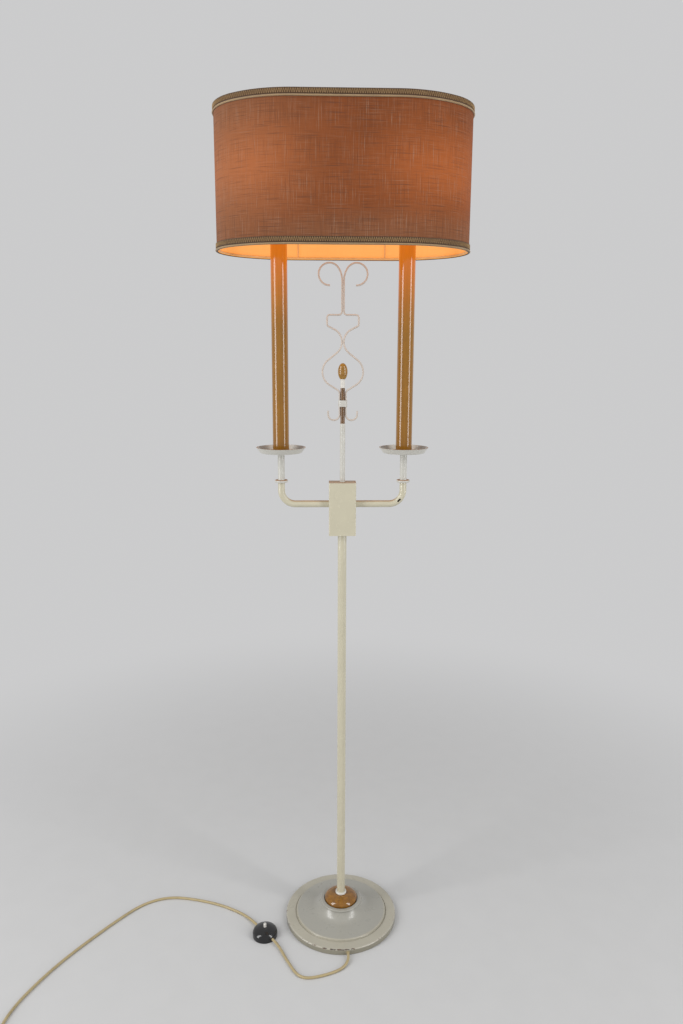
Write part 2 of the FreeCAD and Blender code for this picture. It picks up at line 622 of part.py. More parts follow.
def build_block():
    half_w = BLOCK_WIDTH / 2
    half_d = BLOCK_DEPTH / 2
    outer = Part.makeBox(BLOCK_WIDTH, BLOCK_DEPTH, BLOCK_HEIGHT, V(-half_w, -half_d, BLOCK_BOTTOM))
    uprights = [e for e in outer.Edges if abs(e.tangentAt(e.FirstParameter).z) > 0.9]
    outer = outer.makeFillet(BLOCK_CORNER, uprights)
    hollow = Part.makeBox(BLOCK_WIDTH - 2 * BLOCK_WALL, BLOCK_DEPTH - 2 * BLOCK_WALL, BLOCK_HEIGHT,
                          V(-half_w + BLOCK_WALL, -half_d + BLOCK_WALL, BLOCK_BOTTOM))
    arm_hole = Part.makeCylinder(ARM_RADIUS + SLIP, BLOCK_WIDTH, V(-half_w, 0, ARM_Z), V(1, 0, 0))
    keep("block_body", outer.cut(hollow).cut(arm_hole))

    cap_w = BLOCK_WIDTH - 2 * BLOCK_WALL - 2 * SLIP
    cap_d = BLOCK_DEPTH - 2 * BLOCK_WALL - 2 * SLIP
    for name, bottom, hole in (("block_bottom_cap", BLOCK_BOTTOM, THREAD_HOLE),
                               ("block_top_cap", BLOCK_TOP - CAP_THICK, STEM_BORE - SLIP)):
        plate = Part.makeBox(cap_w, cap_d, CAP_THICK, V(-cap_w / 2, -cap_d / 2, bottom))
        keep(name, plate.cut(Part.makeCylinder(hole, CAP_THICK, V(0, 0, bottom))))

    # Threaded tube and nut that draw the pole up against the bottom cap.
    nut_z = BLOCK_BOTTOM + CAP_THICK + SEAT
    tube_low = POLE_TOP - POLE_BUSH_LIP - POLE_BUSH_LENGTH
    keep("block_nipple", tube(NIPPLE_RADIUS, NIPPLE_BORE, tube_low, nut_z + NUT_THICK + NUT_SPARE))

    # Solid stud and nut that hold the stem down on the top cap.
    nut_top = BLOCK_TOP - CAP_THICK - SEAT
    stud_radius = STEM_BORE - 2 * SLIP
    stud = Part.makeCylinder(stud_radius, STUD_UP + CAP_THICK + STUD_DOWN,
                             V(0, 0, BLOCK_TOP - CAP_THICK - STUD_DOWN))
    nut = hexagon_nut(STUD_NUT_ACROSS, stud_radius + SLIP, nut_top - NUT_THICK, NUT_THICK)
    keep("stem_stud_and_nut", stud, nut)

    # Terminal block where the cord meets the leads of the two arms.
    box = Part.makeBox(TERMINAL_WIDTH, TERMINAL_DEPTH, TERMINAL_HEIGHT,
                       V(-TERMINAL_WIDTH / 2, -TERMINAL_DEPTH / 2, ARM_Z - TERMINAL_HEIGHT / 2))
    for x in (-TERMINAL_WIDTH / 4, TERMINAL_WIDTH / 4):
        for z in (ARM_Z - TERMINAL_HEIGHT / 4, ARM_Z + TERMINAL_HEIGHT / 4):
            box = box.cut(Part.makeCylinder(TERMINAL_SCREW, TERMINAL_DEPTH / 3,
                                            V(x, -TERMINAL_DEPTH / 2, z), V(0, 1, 0)))
    keep("terminal_block", box)


# ---------------------------------------------------------------- arms, dishes, candles


def arm_path(side, begin, end_z):
    """Middle line of an arm: out from the block, round the bend and up."""
    out = ARM_SPREAD - ARM_BEND
    lean = ARM_BEND * math.sqrt(0.5)
    first = V(side * begin, 0, ARM_Z)
    bend_in = V(side * out, 0, ARM_Z)
    bend_mid = V(side * (out + lean), 0, ARM_Z + ARM_BEND - lean)
    bend_out = V(side * ARM_SPREAD, 0, ARM_Z + ARM_BEND)
    last = V(side * ARM_SPREAD, 0, end_z)
    return [
        Part.LineSegment(first, bend_in).toShape(),
        Part.Arc(bend_in, bend_mid, bend_out).toShape(),
        Part.LineSegment(bend_out, last).toShape(),
    ]


def dish():
    """Shallow drip dish with a raised rim, turned about its own axis."""
    floor_z = BOSS_Z + DISH_BOSS_DROP
    below = [
        (THREAD_HOLE, BOSS_Z, 0),
        (DISH_BOSS_RADIUS, BOSS_Z, DISH_BOSS_EDGE),
        (DISH_BOSS_FOOT, floor_z, DISH_BOSS_FLARE),
        (DISH_FLOOR_RADIUS, floor_z, DISH_ROUND),
        (DISH_RADIUS, BOSS_Z + DISH_DEPTH, 0),
    ]
    rim_in = DISH_RADIUS - DISH_SHEET
    above = [
        (rim_in, BOSS_Z + DISH_DEPTH, 0),
        (DISH_FLOOR_RADIUS - DISH_SHEET / 2, floor_z + DISH_SHEET, DISH_ROUND),
        (THREAD_HOLE, floor_z + DISH_SHEET, 0),
    ]
    return turned(below, above)


def glass_outline(base_z):
    """Candle-shaped bulb: narrow neck, full belly, pointed tip."""
    neck = [
        V(BULB_CAP_RADIUS - SLIP, 0, base_z),
        V(BULB_CAP_RADIUS + BULB_NECK_FLARE, 0, base_z + BULB_LENGTH * BULB_NECK_SHARE),
    ]
    belly = [V(BULB_RADIUS * wide, 0, base_z + BULB_LENGTH * high) for high, wide in BULB_FORM]
    return neck + belly + [V(0, 0, base_z + BULB_LENGTH)]


def build_arms_and_candles():
    dish_shape = dish()
    ring = turned([
        (ARM_RADIUS + SLIP, RING_Z - RING_THICK / 2, 0),
        (RING_RADIUS, RING_Z - RING_THICK / 2, RING_ROUND),
        (RING_RADIUS, RING_Z + RING_THICK / 2, RING_ROUND),
        (ARM_RADIUS + SLIP, RING_Z + RING_THICK / 2, 0),
    ])
    sets = {name: [] for name in (
        "arm_rings", "arm_locknuts", "candle_cups", "cup_nipples", "shade_seats",
        "screw_shells", "bulb_caps")}
    begin = BLOCK_WIDTH / 2 - BLOCK_WALL - ARM_INSIDE
    cup_top = CANDLE_BOTTOM + CUP_HEIGHT
    nut_z = cup_top + SEAT
    candle_bore = CANDLE_RADIUS - CANDLE_WALL
    shell_radius = HOLDER_BORE - SLIP
    holder_top = HOLDER_Z + HOLDER_FLANGE_THICK
    well_floor = HOLDER_Z - HOLDER_DEPTH + HOLDER_FLOOR
    cap_z = holder_top - BULB_CAP_LENGTH + BULB_CAP_ABOVE
    for side, word in ((-1, "left"), (1, "right")):
        x = side * ARM_SPREAD
        arm = swept(arm_path(side, begin, RING_Z), ARM_RADIUS)
        arm = arm.cut(swept(arm_path(side, begin, RING_Z), ARM_BORE))
        if side > 0:
            arm = arm.cut(bend_slot())
        keep("arm_" + word, arm)
        keep("riser_" + word, tube(ARM_RADIUS, ARM_BORE, RING_Z + SEAT, BOSS_Z - SEAT, x))
        sets["arm_rings"].append(placed(ring, x))
        nut = hexagon_nut(ARM_NUT_ACROSS, ARM_RADIUS + SLIP, 0, ARM_NUT_THICK)
        nut.rotate(V(0, 0, 0), V(0, 1, 0), 90 * side)
        nut_face = BLOCK_WIDTH / 2 - BLOCK_WALL - SEAT - ARM_NUT_THICK
        sets["arm_locknuts"].append(placed(nut, side * nut_face, 0, ARM_Z))

        keep("drip_dish_" + word, placed(dish_shape, x))
        cup = tube(candle_bore - SLIP, THREAD_HOLE, CANDLE_BOTTOM, cup_top, x)
        sets["candle_cups"].append(cup)
        sets["cup_nipples"].append(
            tube(NIPPLE_RADIUS, NIPPLE_BORE, BOSS_Z - CUP_NIPPLE_DOWN, nut_z + CUP_NIPPLE_UP, x))
        keep("candle_" + word, tube(CANDLE_RADIUS, candle_bore, CANDLE_BOTTOM, CANDLE_TOP, x))

        sets["shade_seats"].append(
            tube(SEAT_RADIUS, HOLDER_RADIUS + SLIP, CANDLE_TOP + SEAT, HOLDER_Z - SEAT, x))
        body = Part.makeCylinder(HOLDER_RADIUS, HOLDER_DEPTH, V(x, 0, HOLDER_Z - HOLDER_DEPTH))
        body = body.fuse(Part.makeCylinder(HOLDER_FLANGE, HOLDER_FLANGE_THICK, V(x, 0, HOLDER_Z)))
        well = Part.makeCylinder(HOLDER_BORE, holder_top - well_floor, V(x, 0, well_floor))
        keep("lamp_holder_" + word, body.removeSplitter().cut(well))
        shell_top = holder_top - SHELL_DROP
        shell = tube(shell_radius, shell_radius - SHELL_WALL, well_floor, shell_top, x)
        sets["screw_shells"].append(shell)

        cone_top = cap_z + BULB_CONTACT_CONE
        cap = Part.makeCylinder(BULB_CAP_RADIUS, BULB_CAP_LENGTH - BULB_CONTACT_CONE, V(x, 0, cone_top))
        narrow = BULB_CAP_RADIUS * BULB_CONE_SHARE
        cap = cap.fuse(Part.makeCone(narrow, BULB_CAP_RADIUS, BULB_CONTACT_CONE, V(x, 0, cap_z)))
        contact_low = well_floor + SEAT
        cap = cap.fuse(Part.makeCylinder(BULB_CONTACT_RADIUS, cap_z - contact_low, V(x, 0, contact_low)))
        sets["bulb_caps"].append(cap.removeSplitter())
        glass_z = cap_z + BULB_CAP_LENGTH + SEAT
        outside = Part.BSplineCurve()
        outside.interpolate(glass_outline(glass_z))
        outline = [
            outside.toShape(),
            Part.makeLine(V(0, 0, glass_z + BULB_LENGTH), V(0, 0, glass_z)),
            Part.makeLine(V(0, 0, glass_z), glass_outline(glass_z)[0]),
        ]
        glass = Part.Face(Part.Wire(outline)).revolve(V(0, 0, 0), V(0, 0, 1), 360)
        keep("bulb_" + word, placed(glass, x))
    for name, solids in sets.items():
        keep(name, *solids)


def bend_slot():
    """Oblong cutter through the front wall of the right arm, along its bend."""
    lean = ARM_BEND * math.sqrt(0.5)
    middle = V(ARM_SPREAD - ARM_BEND + lean, -ARM_RADIUS * 2, ARM_Z + ARM_BEND - lean)
    straight = SLOT_LENGTH - SLOT_WIDTH
    box = Part.makeBox(straight, ARM_RADIUS * 2, SLOT_WIDTH, V(-straight / 2, 0, -SLOT_WIDTH / 2))
    for end in (-straight / 2, straight / 2):
        box = box.fuse(Part.makeCylinder(SLOT_WIDTH / 2, ARM_RADIUS * 2, V(end, 0, 0), V(0, 1, 0)))
    box.rotate(V(0, 0, 0), V(0, 1, 0), -45)
    box.translate(middle)
    return box


def build_nuts():
    """The four equal hexagon nuts on the threaded tubes: foot, block and both candle cups."""
    foot_z = CAVITY_ROOF - 2 * SEAT - WASHER_THICK - NUT_THICK
    block_z = BLOCK_BOTTOM + CAP_THICK + SEAT
    cup_z = CANDLE_BOTTOM + CUP_HEIGHT + SEAT
    places = [(0.0, foot_z), (0.0, block_z), (-ARM_SPREAD, cup_z), (ARM_SPREAD, cup_z)]
    keep("thread_nuts", *[hexagon_nut(NUT_ACROSS, THREAD_HOLE, z, NUT_THICK, x) for x, z in places])


def build_leads():
    """Cord inside the foot and pole, and one lead in each arm."""
    way = V(math.cos(GROMMET_ANGLE), math.sin(GROMMET_ANGLE), 0)
    bend = NIPPLE_FOOT_Z - GROMMET_HEIGHT + LEAD_IN_NIPPLE
    lean = bend * math.sqrt(0.5)
    level = V(0, 0, GROMMET_HEIGHT)
    out = way * (FOOT_RADIUS + SEAT + GROMMET_FLANGE_THICK) + level
    turn_in = way * bend + level
    turn_mid = way * (bend - lean) + V(0, 0, GROMMET_HEIGHT + bend - lean)
    turn_out = V(0, 0, GROMMET_HEIGHT + bend)
    top = V(0, 0, ARM_Z - TERMINAL_HEIGHT / 2 - SEAT)
    path = [
        Part.LineSegment(out, turn_in).toShape(),
        Part.Arc(turn_in, turn_mid, turn_out).toShape(),
        Part.LineSegment(turn_out, top).toShape(),
    ]
    keep("lead_pole", swept(path, CORD_RADIUS))
    begin = TERMINAL_WIDTH / 2 + SEAT
    end_z = HOLDER_Z - HOLDER_DEPTH - SEAT
    keep("leads_arms", *[swept(arm_path(side, begin, end_z), LEAD_RADIUS) for side in (-1, 1)])


# ---------------------------------------------------------------- stem, bead, scroll


def build_stem_and_bead():
    keep("stem_tube", tube(STEM_RADIUS, STEM_BORE, STEM_BOTTOM, STEM_TOP))
    rod_low = STEM_TOP - ROD_IN_STEM
    rod_top = BEAD_BOTTOM + BEAD_SOCKET - SEAT
    keep("stem_rod", Part.makeCylinder(ROD_RADIUS, rod_top - rod_low, V(0, 0, rod_low)))
    widest = BEAD_BOTTOM + BEAD_LOWER
    # The lower ellipse is long enough to be BEAD_FOOT_RADIUS wide where it is cut off.
    lower = BEAD_LOWER / math.sqrt(1 - (BEAD_FOOT_RADIUS / BEAD_RADIUS) ** 2)
    foot_angle = -math.degrees(math.asin(BEAD_LOWER / lower))
    rim = [
        quarter((0, widest), BEAD_RADIUS, lower, foot_angle, 0),
        quarter((0, widest), BEAD_RADIUS, BEAD_UPPER, 0, 90),
        Part.makeLine(V(0, 0, widest + BEAD_UPPER), V(0, 0, BEAD_BOTTOM)),
        Part.makeLine(V(0, 0, BEAD_BOTTOM), V(BEAD_FOOT_RADIUS, 0, BEAD_BOTTOM)),
    ]
    bead = Part.Face(Part.Wire(Part.__sortEdges__(rim))).revolve(V(0, 0, 0), V(0, 0, 1), 360)
    socket = Part.makeCylinder(ROD_RADIUS + SLIP, BEAD_SOCKET, V(0, 0, BEAD_BOTTOM))
    keep("bead", bead.cut(socket))


def scroll_pegs():
    """Pegs of the bending jig from the lower hook to the top curl: x, z, radius, turning way."""
    beside_rod = ROD_RADIUS + WIRE_RADIUS + SLIP
    twin = WIRE_RADIUS + WIRE_GAP
    curl_x = CURL_REACH - CURL_RADIUS
    # The leading bend touches the twin wires on one side and the curl on the other.
    across = CURL_LEAD_RADIUS + twin - curl_x
    down = math.sqrt((CURL_LEAD_RADIUS - CURL_RADIUS) ** 2 - across ** 2)
    return [
        (beside_rod + HOOK_RADIUS, HOOK_HEIGHT, HOOK_RADIUS, -1),
        (beside_rod + NECK_RADIUS, NECK_HEIGHT, NECK_RADIUS, -1),
        (BULB_LOOP_REACH - BULB_LOOP_RADIUS, BULB_LOOP_HEIGHT, BULB_LOOP_RADIUS, 1),
        (twin + WAIST_RADIUS, WAIST_HEIGHT, WAIST_RADIUS, -1),
        (BOX_REACH - BOX_CORNER, BOX_LOW, BOX_CORNER, 1),
        (BOX_REACH - BOX_CORNER, BOX_TOP - BOX_CORNER, BOX_CORNER, 1),
        (twin + TWIN_CORNER, BOX_TOP + TWIN_CORNER, TWIN_CORNER, -1),
        (twin + CURL_LEAD_RADIUS, CURL_HEIGHT - down, CURL_LEAD_RADIUS, -1),
        (curl_x, CURL_HEIGHT, CURL_RADIUS, -1),
    ]


def tangent_points(first, second):
    """Where a straight wire leaves one peg and reaches the next."""
    x1, z1, r1, way1 = first
    x2, z2, r2, way2 = second
    distance = math.hypot(x2 - x1, z2 - z1)
    along = math.atan2(z2 - z1, x2 - x1)
    # A peg that turns the wire left has its middle on the left of the wire.
    offset1, offset2 = way1 * r1, way2 * r2
    lean = (offset1 - offset2) / distance
    heading = along + math.asin(max(-1.0, min(1.0, lean)))
    left = (-math.sin(heading), math.cos(heading))
    leave = (x1 - offset1 * left[0], z1 - offset1 * left[1])
    reach = (x2 - offset2 * left[0], z2 - offset2 * left[1])
    return leave, reach


def scroll_wire():
    """Right-hand wire of the scroll, bent round its pegs."""
    pegs = scroll_pegs()
    hook = pegs[0]
    curl = pegs[-1]
    tip = (hook[0] + hook[2], hook[1])
    edges = [Part.makeLine(V(tip[0], 0, tip[1] + HOOK_TIP), V(tip[0], 0, tip[1]))]
    here = tip
    for peg, after in zip(pegs, pegs[1:]):
        leave, reach = tangent_points(peg, after)
        edges.append(peg_arc(peg, here, leave))
        if math.hypot(reach[0] - leave[0], reach[1] - leave[1]) > 1e-4:
            edges.append(Part.makeLine(V(leave[0], 0, leave[1]), V(reach[0], 0, reach[1])))
            here = reach
        else:
            here = leave
    end_angle = math.radians(CURL_END_ANGLE)
    end = (curl[0] + curl[2] * math.cos(end_angle), curl[1] + curl[2] * math.sin(end_angle))
    edges.append(peg_arc(curl, here, end))
    return swept(edges, WIRE_RADIUS)


def peg_arc(peg, start, stop):
    """Arc of wire round a peg, turning the peg's way."""
    x, z, radius, way = peg
    first = math.atan2(start[1] - z, start[0] - x)
    last = math.atan2(stop[1] - z, stop[0] - x)
    sweep = ((last - first) * way) % (2 * math.pi)
    half = first + way * sweep / 2
    middle = V(x + radius * math.cos(half), 0, z + radius * math.sin(half))
    return Part.Arc(V(start[0], 0, start[1]), middle, V(stop[0], 0, stop[1])).toShape()


def build_scroll():
    right = scroll_wire()
    left = right.mirror(V(0, 0, 0), V(1, 0, 0))
    keep("scroll_wire_right", right)
    keep("scroll_wire_left", left)
    # Sheet-metal clasp round both wires and the rod: a flat oblong band with round ends.
    depth = ROD_RADIUS + SLIP
    reach = ROD_RADIUS + SLIP + 2 * WIRE_RADIUS + SLIP
    outside = oblong(reach + CLASP_SHEET, depth + CLASP_SHEET, CLASP_BOTTOM, CLASP_HEIGHT)
    inside = oblong(reach, depth, CLASP_BOTTOM, CLASP_HEIGHT)
    keep("clasp_band", outside.cut(inside))


def oblong(half_length, half_width, bottom, height):
    """Upright block with bulging ends."""
    straight = half_length - half_width * CLASP_END_SHARE
    corners = [
        (straight, -half_width), (half_length, 0.0), (straight, half_width),
        (-straight, half_width), (-half_length, 0.0), (-straight, -half_width),
    ]
    p = [V(x, y, bottom) for x, y in corners]
    edges = [
        Part.Arc(p[0], p[1], p[2]).toShape(), Part.makeLine(p[2], p[3]),
        Part.Arc(p[3], p[4], p[5]).toShape(), Part.makeLine(p[5], p[0]),
    ]
    return Part.Face(Part.Wire(edges)).extrude(V(0, 0, height))


# ---------------------------------------------------------------- shade


def oval_edges(grow, z):
    """Outline of the shade at one height, moved outwards by grow, front middle first.

    Each rounded end is a wide arc, a tight arc and a wide arc that meet smoothly.
    """
    half_width = SHADE_WIDTH / 2
    straight = SHADE_LENGTH / 2 - SHADE_END
    offset = SHADE_END - SHADE_END_RADIUS
    # Radius of the wide arcs, from the two arcs having one tangent where they meet.
    wide = ((half_width ** 2 + offset ** 2 - SHADE_END_RADIUS ** 2)
            / (2 * (half_width - SHADE_END_RADIUS)))
    lean = math.atan2(wide - half_width, offset)
    tight_out = SHADE_END_RADIUS + grow
    wide_out = wide + grow

    def corner(way, side):
        """Middle of the wide arc, its two ends and its middle point."""
        centre = V(way * straight, -side * (wide - half_width), z)
        points = []
        for share in (0.0, 0.5, 1.0):
            angle = math.pi / 2 - share * (math.pi / 2 - lean)
            aim = V(way * math.cos(angle), side * math.sin(angle), 0)
            points.append(centre + aim * wide_out)
        return points

    edges = []
    front_right, back_right = corner(1, -1), corner(1, 1)
    front_left, back_left = corner(-1, -1), corner(-1, 1)
    tip = SHADE_LENGTH / 2 - SHADE_END_RADIUS + tight_out
    middle = V(0, -(half_width + grow), z)
    edges.append(Part.makeLine(middle, front_right[0]))
    edges.append(Part.Arc(*front_right).toShape())
    edges.append(Part.Arc(front_right[2], V(tip, 0, z), back_right[2]).toShape())
    edges.append(Part.Arc(*reversed(back_right)).toShape())
    edges.append(Part.makeLine(back_right[0], back_left[0]))
    edges.append(Part.Arc(*back_left).toShape())
    edges.append(Part.Arc(back_left[2], V(-tip, 0, z), front_left[2]).toShape())
    edges.append(Part.Arc(*reversed(front_left)).toShape())
    edges.append(Part.makeLine(front_left[0], middle))
    return edges


def oval_ring(outer, inner, bottom, top):
    """Upright oval wall between two offsets of the shade's outline."""
    body = Part.Face(Part.Wire(oval_edges(outer, bottom))).extrude(V(0, 0, top - bottom))
    hollow = Part.Face(Part.Wire(oval_edges(inner, bottom))).extrude(V(0, 0, top - bottom))
    return body.cut(hollow)


def build_shade():
    low = SHADE_BOTTOM + TRIM_FOLD + SEAT
    high = SHADE_TOP - TRIM_FOLD - SEAT
    liner_out = -COVER_THICK - SEAT
    liner_in = liner_out - LINER_THICK
    keep("shade_cover", oval_ring(0.0, -COVER_THICK, low, high))
    keep("shade_liner", oval_ring(liner_out, liner_in, low, high))

    # Braid: an outer band, and a fold over the cut edge of cover and liner.
    fold_in = liner_in - SEAT
    for name, edge, way in (("shade_trim_bottom", SHADE_BOTTOM, 1), ("shade_trim_top", SHADE_TOP, -1)):
        band_low, band_high = sorted((edge, edge + way * TRIM_HEIGHT))
        fold_low, fold_high = sorted((edge, edge + way * TRIM_FOLD))
        band = oval_ring(TRIM_THICK, SEAT, band_low, band_high)
        fold = oval_ring(SEAT, fold_in, fold_low, fold_high)
        keep(name, band.fuse(fold).removeSplitter())

    # Wire frame inside the liner.
    wire_line = liner_in - SLIP - FRAME_WIRE
    ring_low = low + FRAME_WIRE + FRAME_SET_IN
    ring_high = high - FRAME_WIRE - FRAME_SET_IN
    keep("shade_ring_bottom", swept(oval_edges(wire_line, ring_low), FRAME_WIRE))
    keep("shade_ring_top", swept(oval_edges(wire_line, ring_high), FRAME_WIRE))
    rib_low = ring_low + FRAME_WIRE + SEAT
    rib_high = ring_high - FRAME_WIRE - SEAT
    end_x = SHADE_LENGTH / 2 + wire_line
    side_y = SHADE_WIDTH / 2 + wire_line
    rib_x = SHADE_LENGTH / 2 - SHADE_END - RIB_SET_IN
    feet = [(-end_x, 0), (end_x, 0)]
    feet += [(x, y) for x in (-rib_x, rib_x) for y in (-side_y, side_y)]
    ribs = [Part.makeCylinder(FRAME_WIRE, rib_high - rib_low, V(x, y, rib_low)) for x, y in feet]
    keep("shade_ribs", *ribs)

    # Flat bar with two rings, which sit on the discs at the candle tops.
    bar_reach = end_x - FRAME_WIRE - SEAT
    bar = Part.makeBox(2 * bar_reach, CARRIER_WIDTH, CARRIER_THICK,
                       V(-bar_reach, -CARRIER_WIDTH / 2, CARRIER_Z))
    for x in (-ARM_SPREAD, ARM_SPREAD):
        bar = bar.fuse(Part.makeCylinder(CARRIER_RING, CARRIER_THICK, V(x, 0, CARRIER_Z)))
    for x in (-ARM_SPREAD, ARM_SPREAD):
        bar = bar.cut(Part.makeCylinder(CARRIER_HOLE, CARRIER_THICK, V(x, 0, CARRIER_Z)))
    keep("shade_carrier", bar.removeSplitter())


# ---------------------------------------------------------------- cord, switch, plug


def report_tube(name, edges, solid, radii):
    """Print the bends of a cord and compare its volume with section times length."""
    length = sum(edge.Length for edge in edges)
    ideal = math.pi * CORD_RADIUS ** 2 * length
    print("%s length %.1f, bends %s, volume ratio %.4f"
          % (name, length, " ".join("%.0f" % r for r in radii), solid.Volume / ideal))


def straight_start(place, angle, height):
    """First two points of a cord that leaves its hole square to the wall."""
    way = V(math.cos(angle), math.sin(angle), 0)
    start = place + V(0, 0, height)
    return [tuple(start), tuple(start + way * CORD_LEAD_OUT)]


def switch_end(way):
    """The cord's straight end at the switch, way -1 on the foot's side and +1 beyond."""
    angle = math.radians(SWITCH_TURN) + (math.pi if way < 0 else 0)
    reach = SWITCH_RADIUS + SEAT
    place = V(SWITCH_X + reach * math.cos(angle), SWITCH_Y + reach * math.sin(angle), 0)
    return straight_start(place, angle, SWITCH_CORD_Z)


def build_cord():
    reach = FOOT_RADIUS + SEAT + GROMMET_FLANGE_THICK + SEAT
    place = V(reach * math.cos(GROMMET_ANGLE), reach * math.sin(GROMMET_ANGLE), 0)
    foot_end = straight_start(place, GROMMET_ANGLE, GROMMET_HEIGHT)
    for name, points in (
            ("cord_to_switch", foot_end + CORD_ROUTE_FRONT + switch_end(-1)[::-1]),
            ("cord_to_coil", switch_end(1) + CORD_ROUTE_BACK + [CORD_ROUTE_END])):
        edges, radii = arc_path(points)
        solid = swept(edges, CORD_RADIUS)
        report_tube(name, edges, solid, radii)
        keep(name, solid)


def coil_station(turns):
    """Place on the coil after some turns, about the coil's own middle."""
    reverse = (COIL_TURNS - 0.5) / 2
    outer = COIL_MEAN_RADIUS + COIL_PITCH * reverse / 2
    if turns <= reverse:
        radius, height = outer - COIL_PITCH * turns, 0.0
    elif turns >= reverse + 0.5:
        radius, height = outer - COIL_PITCH * (COIL_TURNS - turns), COIL_PITCH
    else:
        share = (turns - reverse) / 0.5
        # The spiral eases from winding in to winding out while the cord climbs one layer.
        radius = outer - COIL_PITCH * reverse - COIL_PITCH * 0.5 * share * (1 - share)
        height = COIL_PITCH * (3 * share ** 2 - 2 * share ** 3)
    angle = math.pi + 2 * math.pi * turns
    return V(radius * math.cos(angle), radius * math.sin(angle), height)


def coil_way(turns):
    """Direction of the cord there."""
    step = 1e-5
    return (coil_station(turns + step) - coil_station(turns - step)).normalize()


def build_coil():
    diameter = 2 * CORD_RADIUS
    outer = -coil_station(0.0).x
    middle = V(CORD_ROUTE_END[0] + outer, CORD_ROUTE_END[1] - diameter - SEAT, CORD_FLOOR_Z)
    count = int(round(COIL_TURNS * COIL_STEPS_PER_TURN))
    stations = [COIL_TURNS * k / count for k in range(count + 1)]
    points = [middle + coil_station(t) for t in stations]
    ways = [coil_way(t) for t in stations]
    ways[0] = V(0, -1, 0)
    ways[-1] = V(1, 0, 0)
    edges = [Part.LineSegment(points[0] - ways[0] * diameter, points[0]).toShape()]
    for k in range(count):
        edges.extend(biarc(points[k], ways[k], points[k + 1], ways[k + 1]))
    tail = points[-1] + ways[-1] * diameter
    edges.append(Part.LineSegment(points[-1], tail).toShape())
    solid = swept(edges, CORD_RADIUS)
    keep("cord_coil", solid)
    report_tube("cord_coil", edges, solid, [COIL_MEAN_RADIUS])
    print("cord_coil least gap to itself %.2f" % least_gap(Part.Wire(edges)))
    return tail


def least_gap(path):
    """Least gap between stretches of the coil that lie more than half a turn apart."""
    count = 600
    points = path.discretize(count)
    skip = int(count / COIL_TURNS / 2)
    least = min((points[i] - points[j]).Length
                for i in range(0, count) for j in range(i + skip, count))
    return least - 2 * CORD_RADIUS


def build_switch():
    """Round foot switch: base plate, dome with a mouth for the button, sprung button."""
    top = SWITCH_BASE_THICK + SWITCH_DOME_HEIGHT
    base_radius = SWITCH_RADIUS - SWITCH_SHEET - SWITCH_BASE_EDGE
    base = Part.makeCylinder(base_radius, SWITCH_BASE_THICK)
    post_height = SWITCH_DOME_HEIGHT - SWITCH_SHEET - BUTTON_FLANGE - BUTTON_STROKE - SPRING_POST_GAP
    post = Part.makeCylinder(SPRING_POST, post_height, V(0, 0, SWITCH_BASE_THICK))
    keep("switch_base", placed(base.fuse(post).removeSplitter(), SWITCH_X, SWITCH_Y))

    mouth = BUTTON_RADIUS + BUTTON_GUIDE
    roof = top - SWITCH_SHEET
    outside = [
        (SWITCH_RADIUS, SWITCH_EDGE_LIFT, 0),
        (SWITCH_RADIUS, SWITCH_SKIRT, SWITCH_SIDE_ROUND),
        (SWITCH_DOME_TOP, top, SWITCH_CROWN_ROUND),
        (mouth, top, 0),
    ]
    inside = shifted(outside, SWITCH_SHEET)[::-1]
    keep("switch_dome", placed(turned(outside, inside), SWITCH_X, SWITCH_Y))

    flange = BUTTON_RADIUS + BUTTON_FLANGE_WIDTH
    flange_top = roof - SEAT
    button = turned([
        (0, flange_top - BUTTON_FLANGE, 0),
        (flange, flange_top - BUTTON_FLANGE, 0),
        (flange, flange_top, 0),
        (BUTTON_RADIUS, flange_top, 0),
        (BUTTON_RADIUS, top + BUTTON_ABOVE, BUTTON_EDGE),
        (0, top + BUTTON_ABOVE, 0),
    ])
    keep("switch_button", placed(button, SWITCH_X, SWITCH_Y))


def build_plug(tail):
    """Flat two-pin plug with a tapered strain relief, lying beside the coil."""
    x0 = tail.x + SEAT
    axis = V(1, 0, 0)
    relief = Part.makeCone(PLUG_TAIL_TIP, PLUG_TAIL_RADIUS, PLUG_TAIL, V(x0, tail.y, tail.z), axis)
    x1 = x0 + PLUG_TAIL - SEAT
    half = PLUG_THICK / 2
    low = tail.z - half
    side = [
        V(x1, tail.y - PLUG_NOSE / 2, low),
        V(x1 + PLUG_TAPER, tail.y - PLUG_WIDTH / 2, low),
        V(x1 + PLUG_LENGTH, tail.y - PLUG_WIDTH / 2, low),
        V(x1 + PLUG_LENGTH, tail.y + PLUG_WIDTH / 2, low),
        V(x1 + PLUG_TAPER, tail.y + PLUG_WIDTH / 2, low),
        V(x1, tail.y + PLUG_NOSE / 2, low),
    ]
    body = Part.Face(Part.makePolygon(side + [side[0]])).extrude(V(0, 0, PLUG_THICK))
    body = body.makeFillet(PLUG_ROUND, body.Edges)
    face_x = x1 + PLUG_LENGTH
    pins = []
    for y in (tail.y - PIN_SPREAD, tail.y + PIN_SPREAD):
        root = V(face_x - PIN_SET, y, tail.z)
        body = body.cut(Part.makeCylinder(PIN_RADIUS + SLIP, PIN_SET, root, axis))
        pin = Part.makeCylinder(PIN_RADIUS, PIN_SET + PIN_LENGTH - SEAT, root + axis * SEAT, axis)
        tips = [e for e in pin.Edges if e.BoundBox.XMin > face_x]
        pins.append(pin.makeFillet(PIN_ROUND, tips))
    keep("plug_body", body.fuse(relief).removeSplitter())
    keep("plug_pins", *pins)


# ---------------------------------------------------------------- build and write


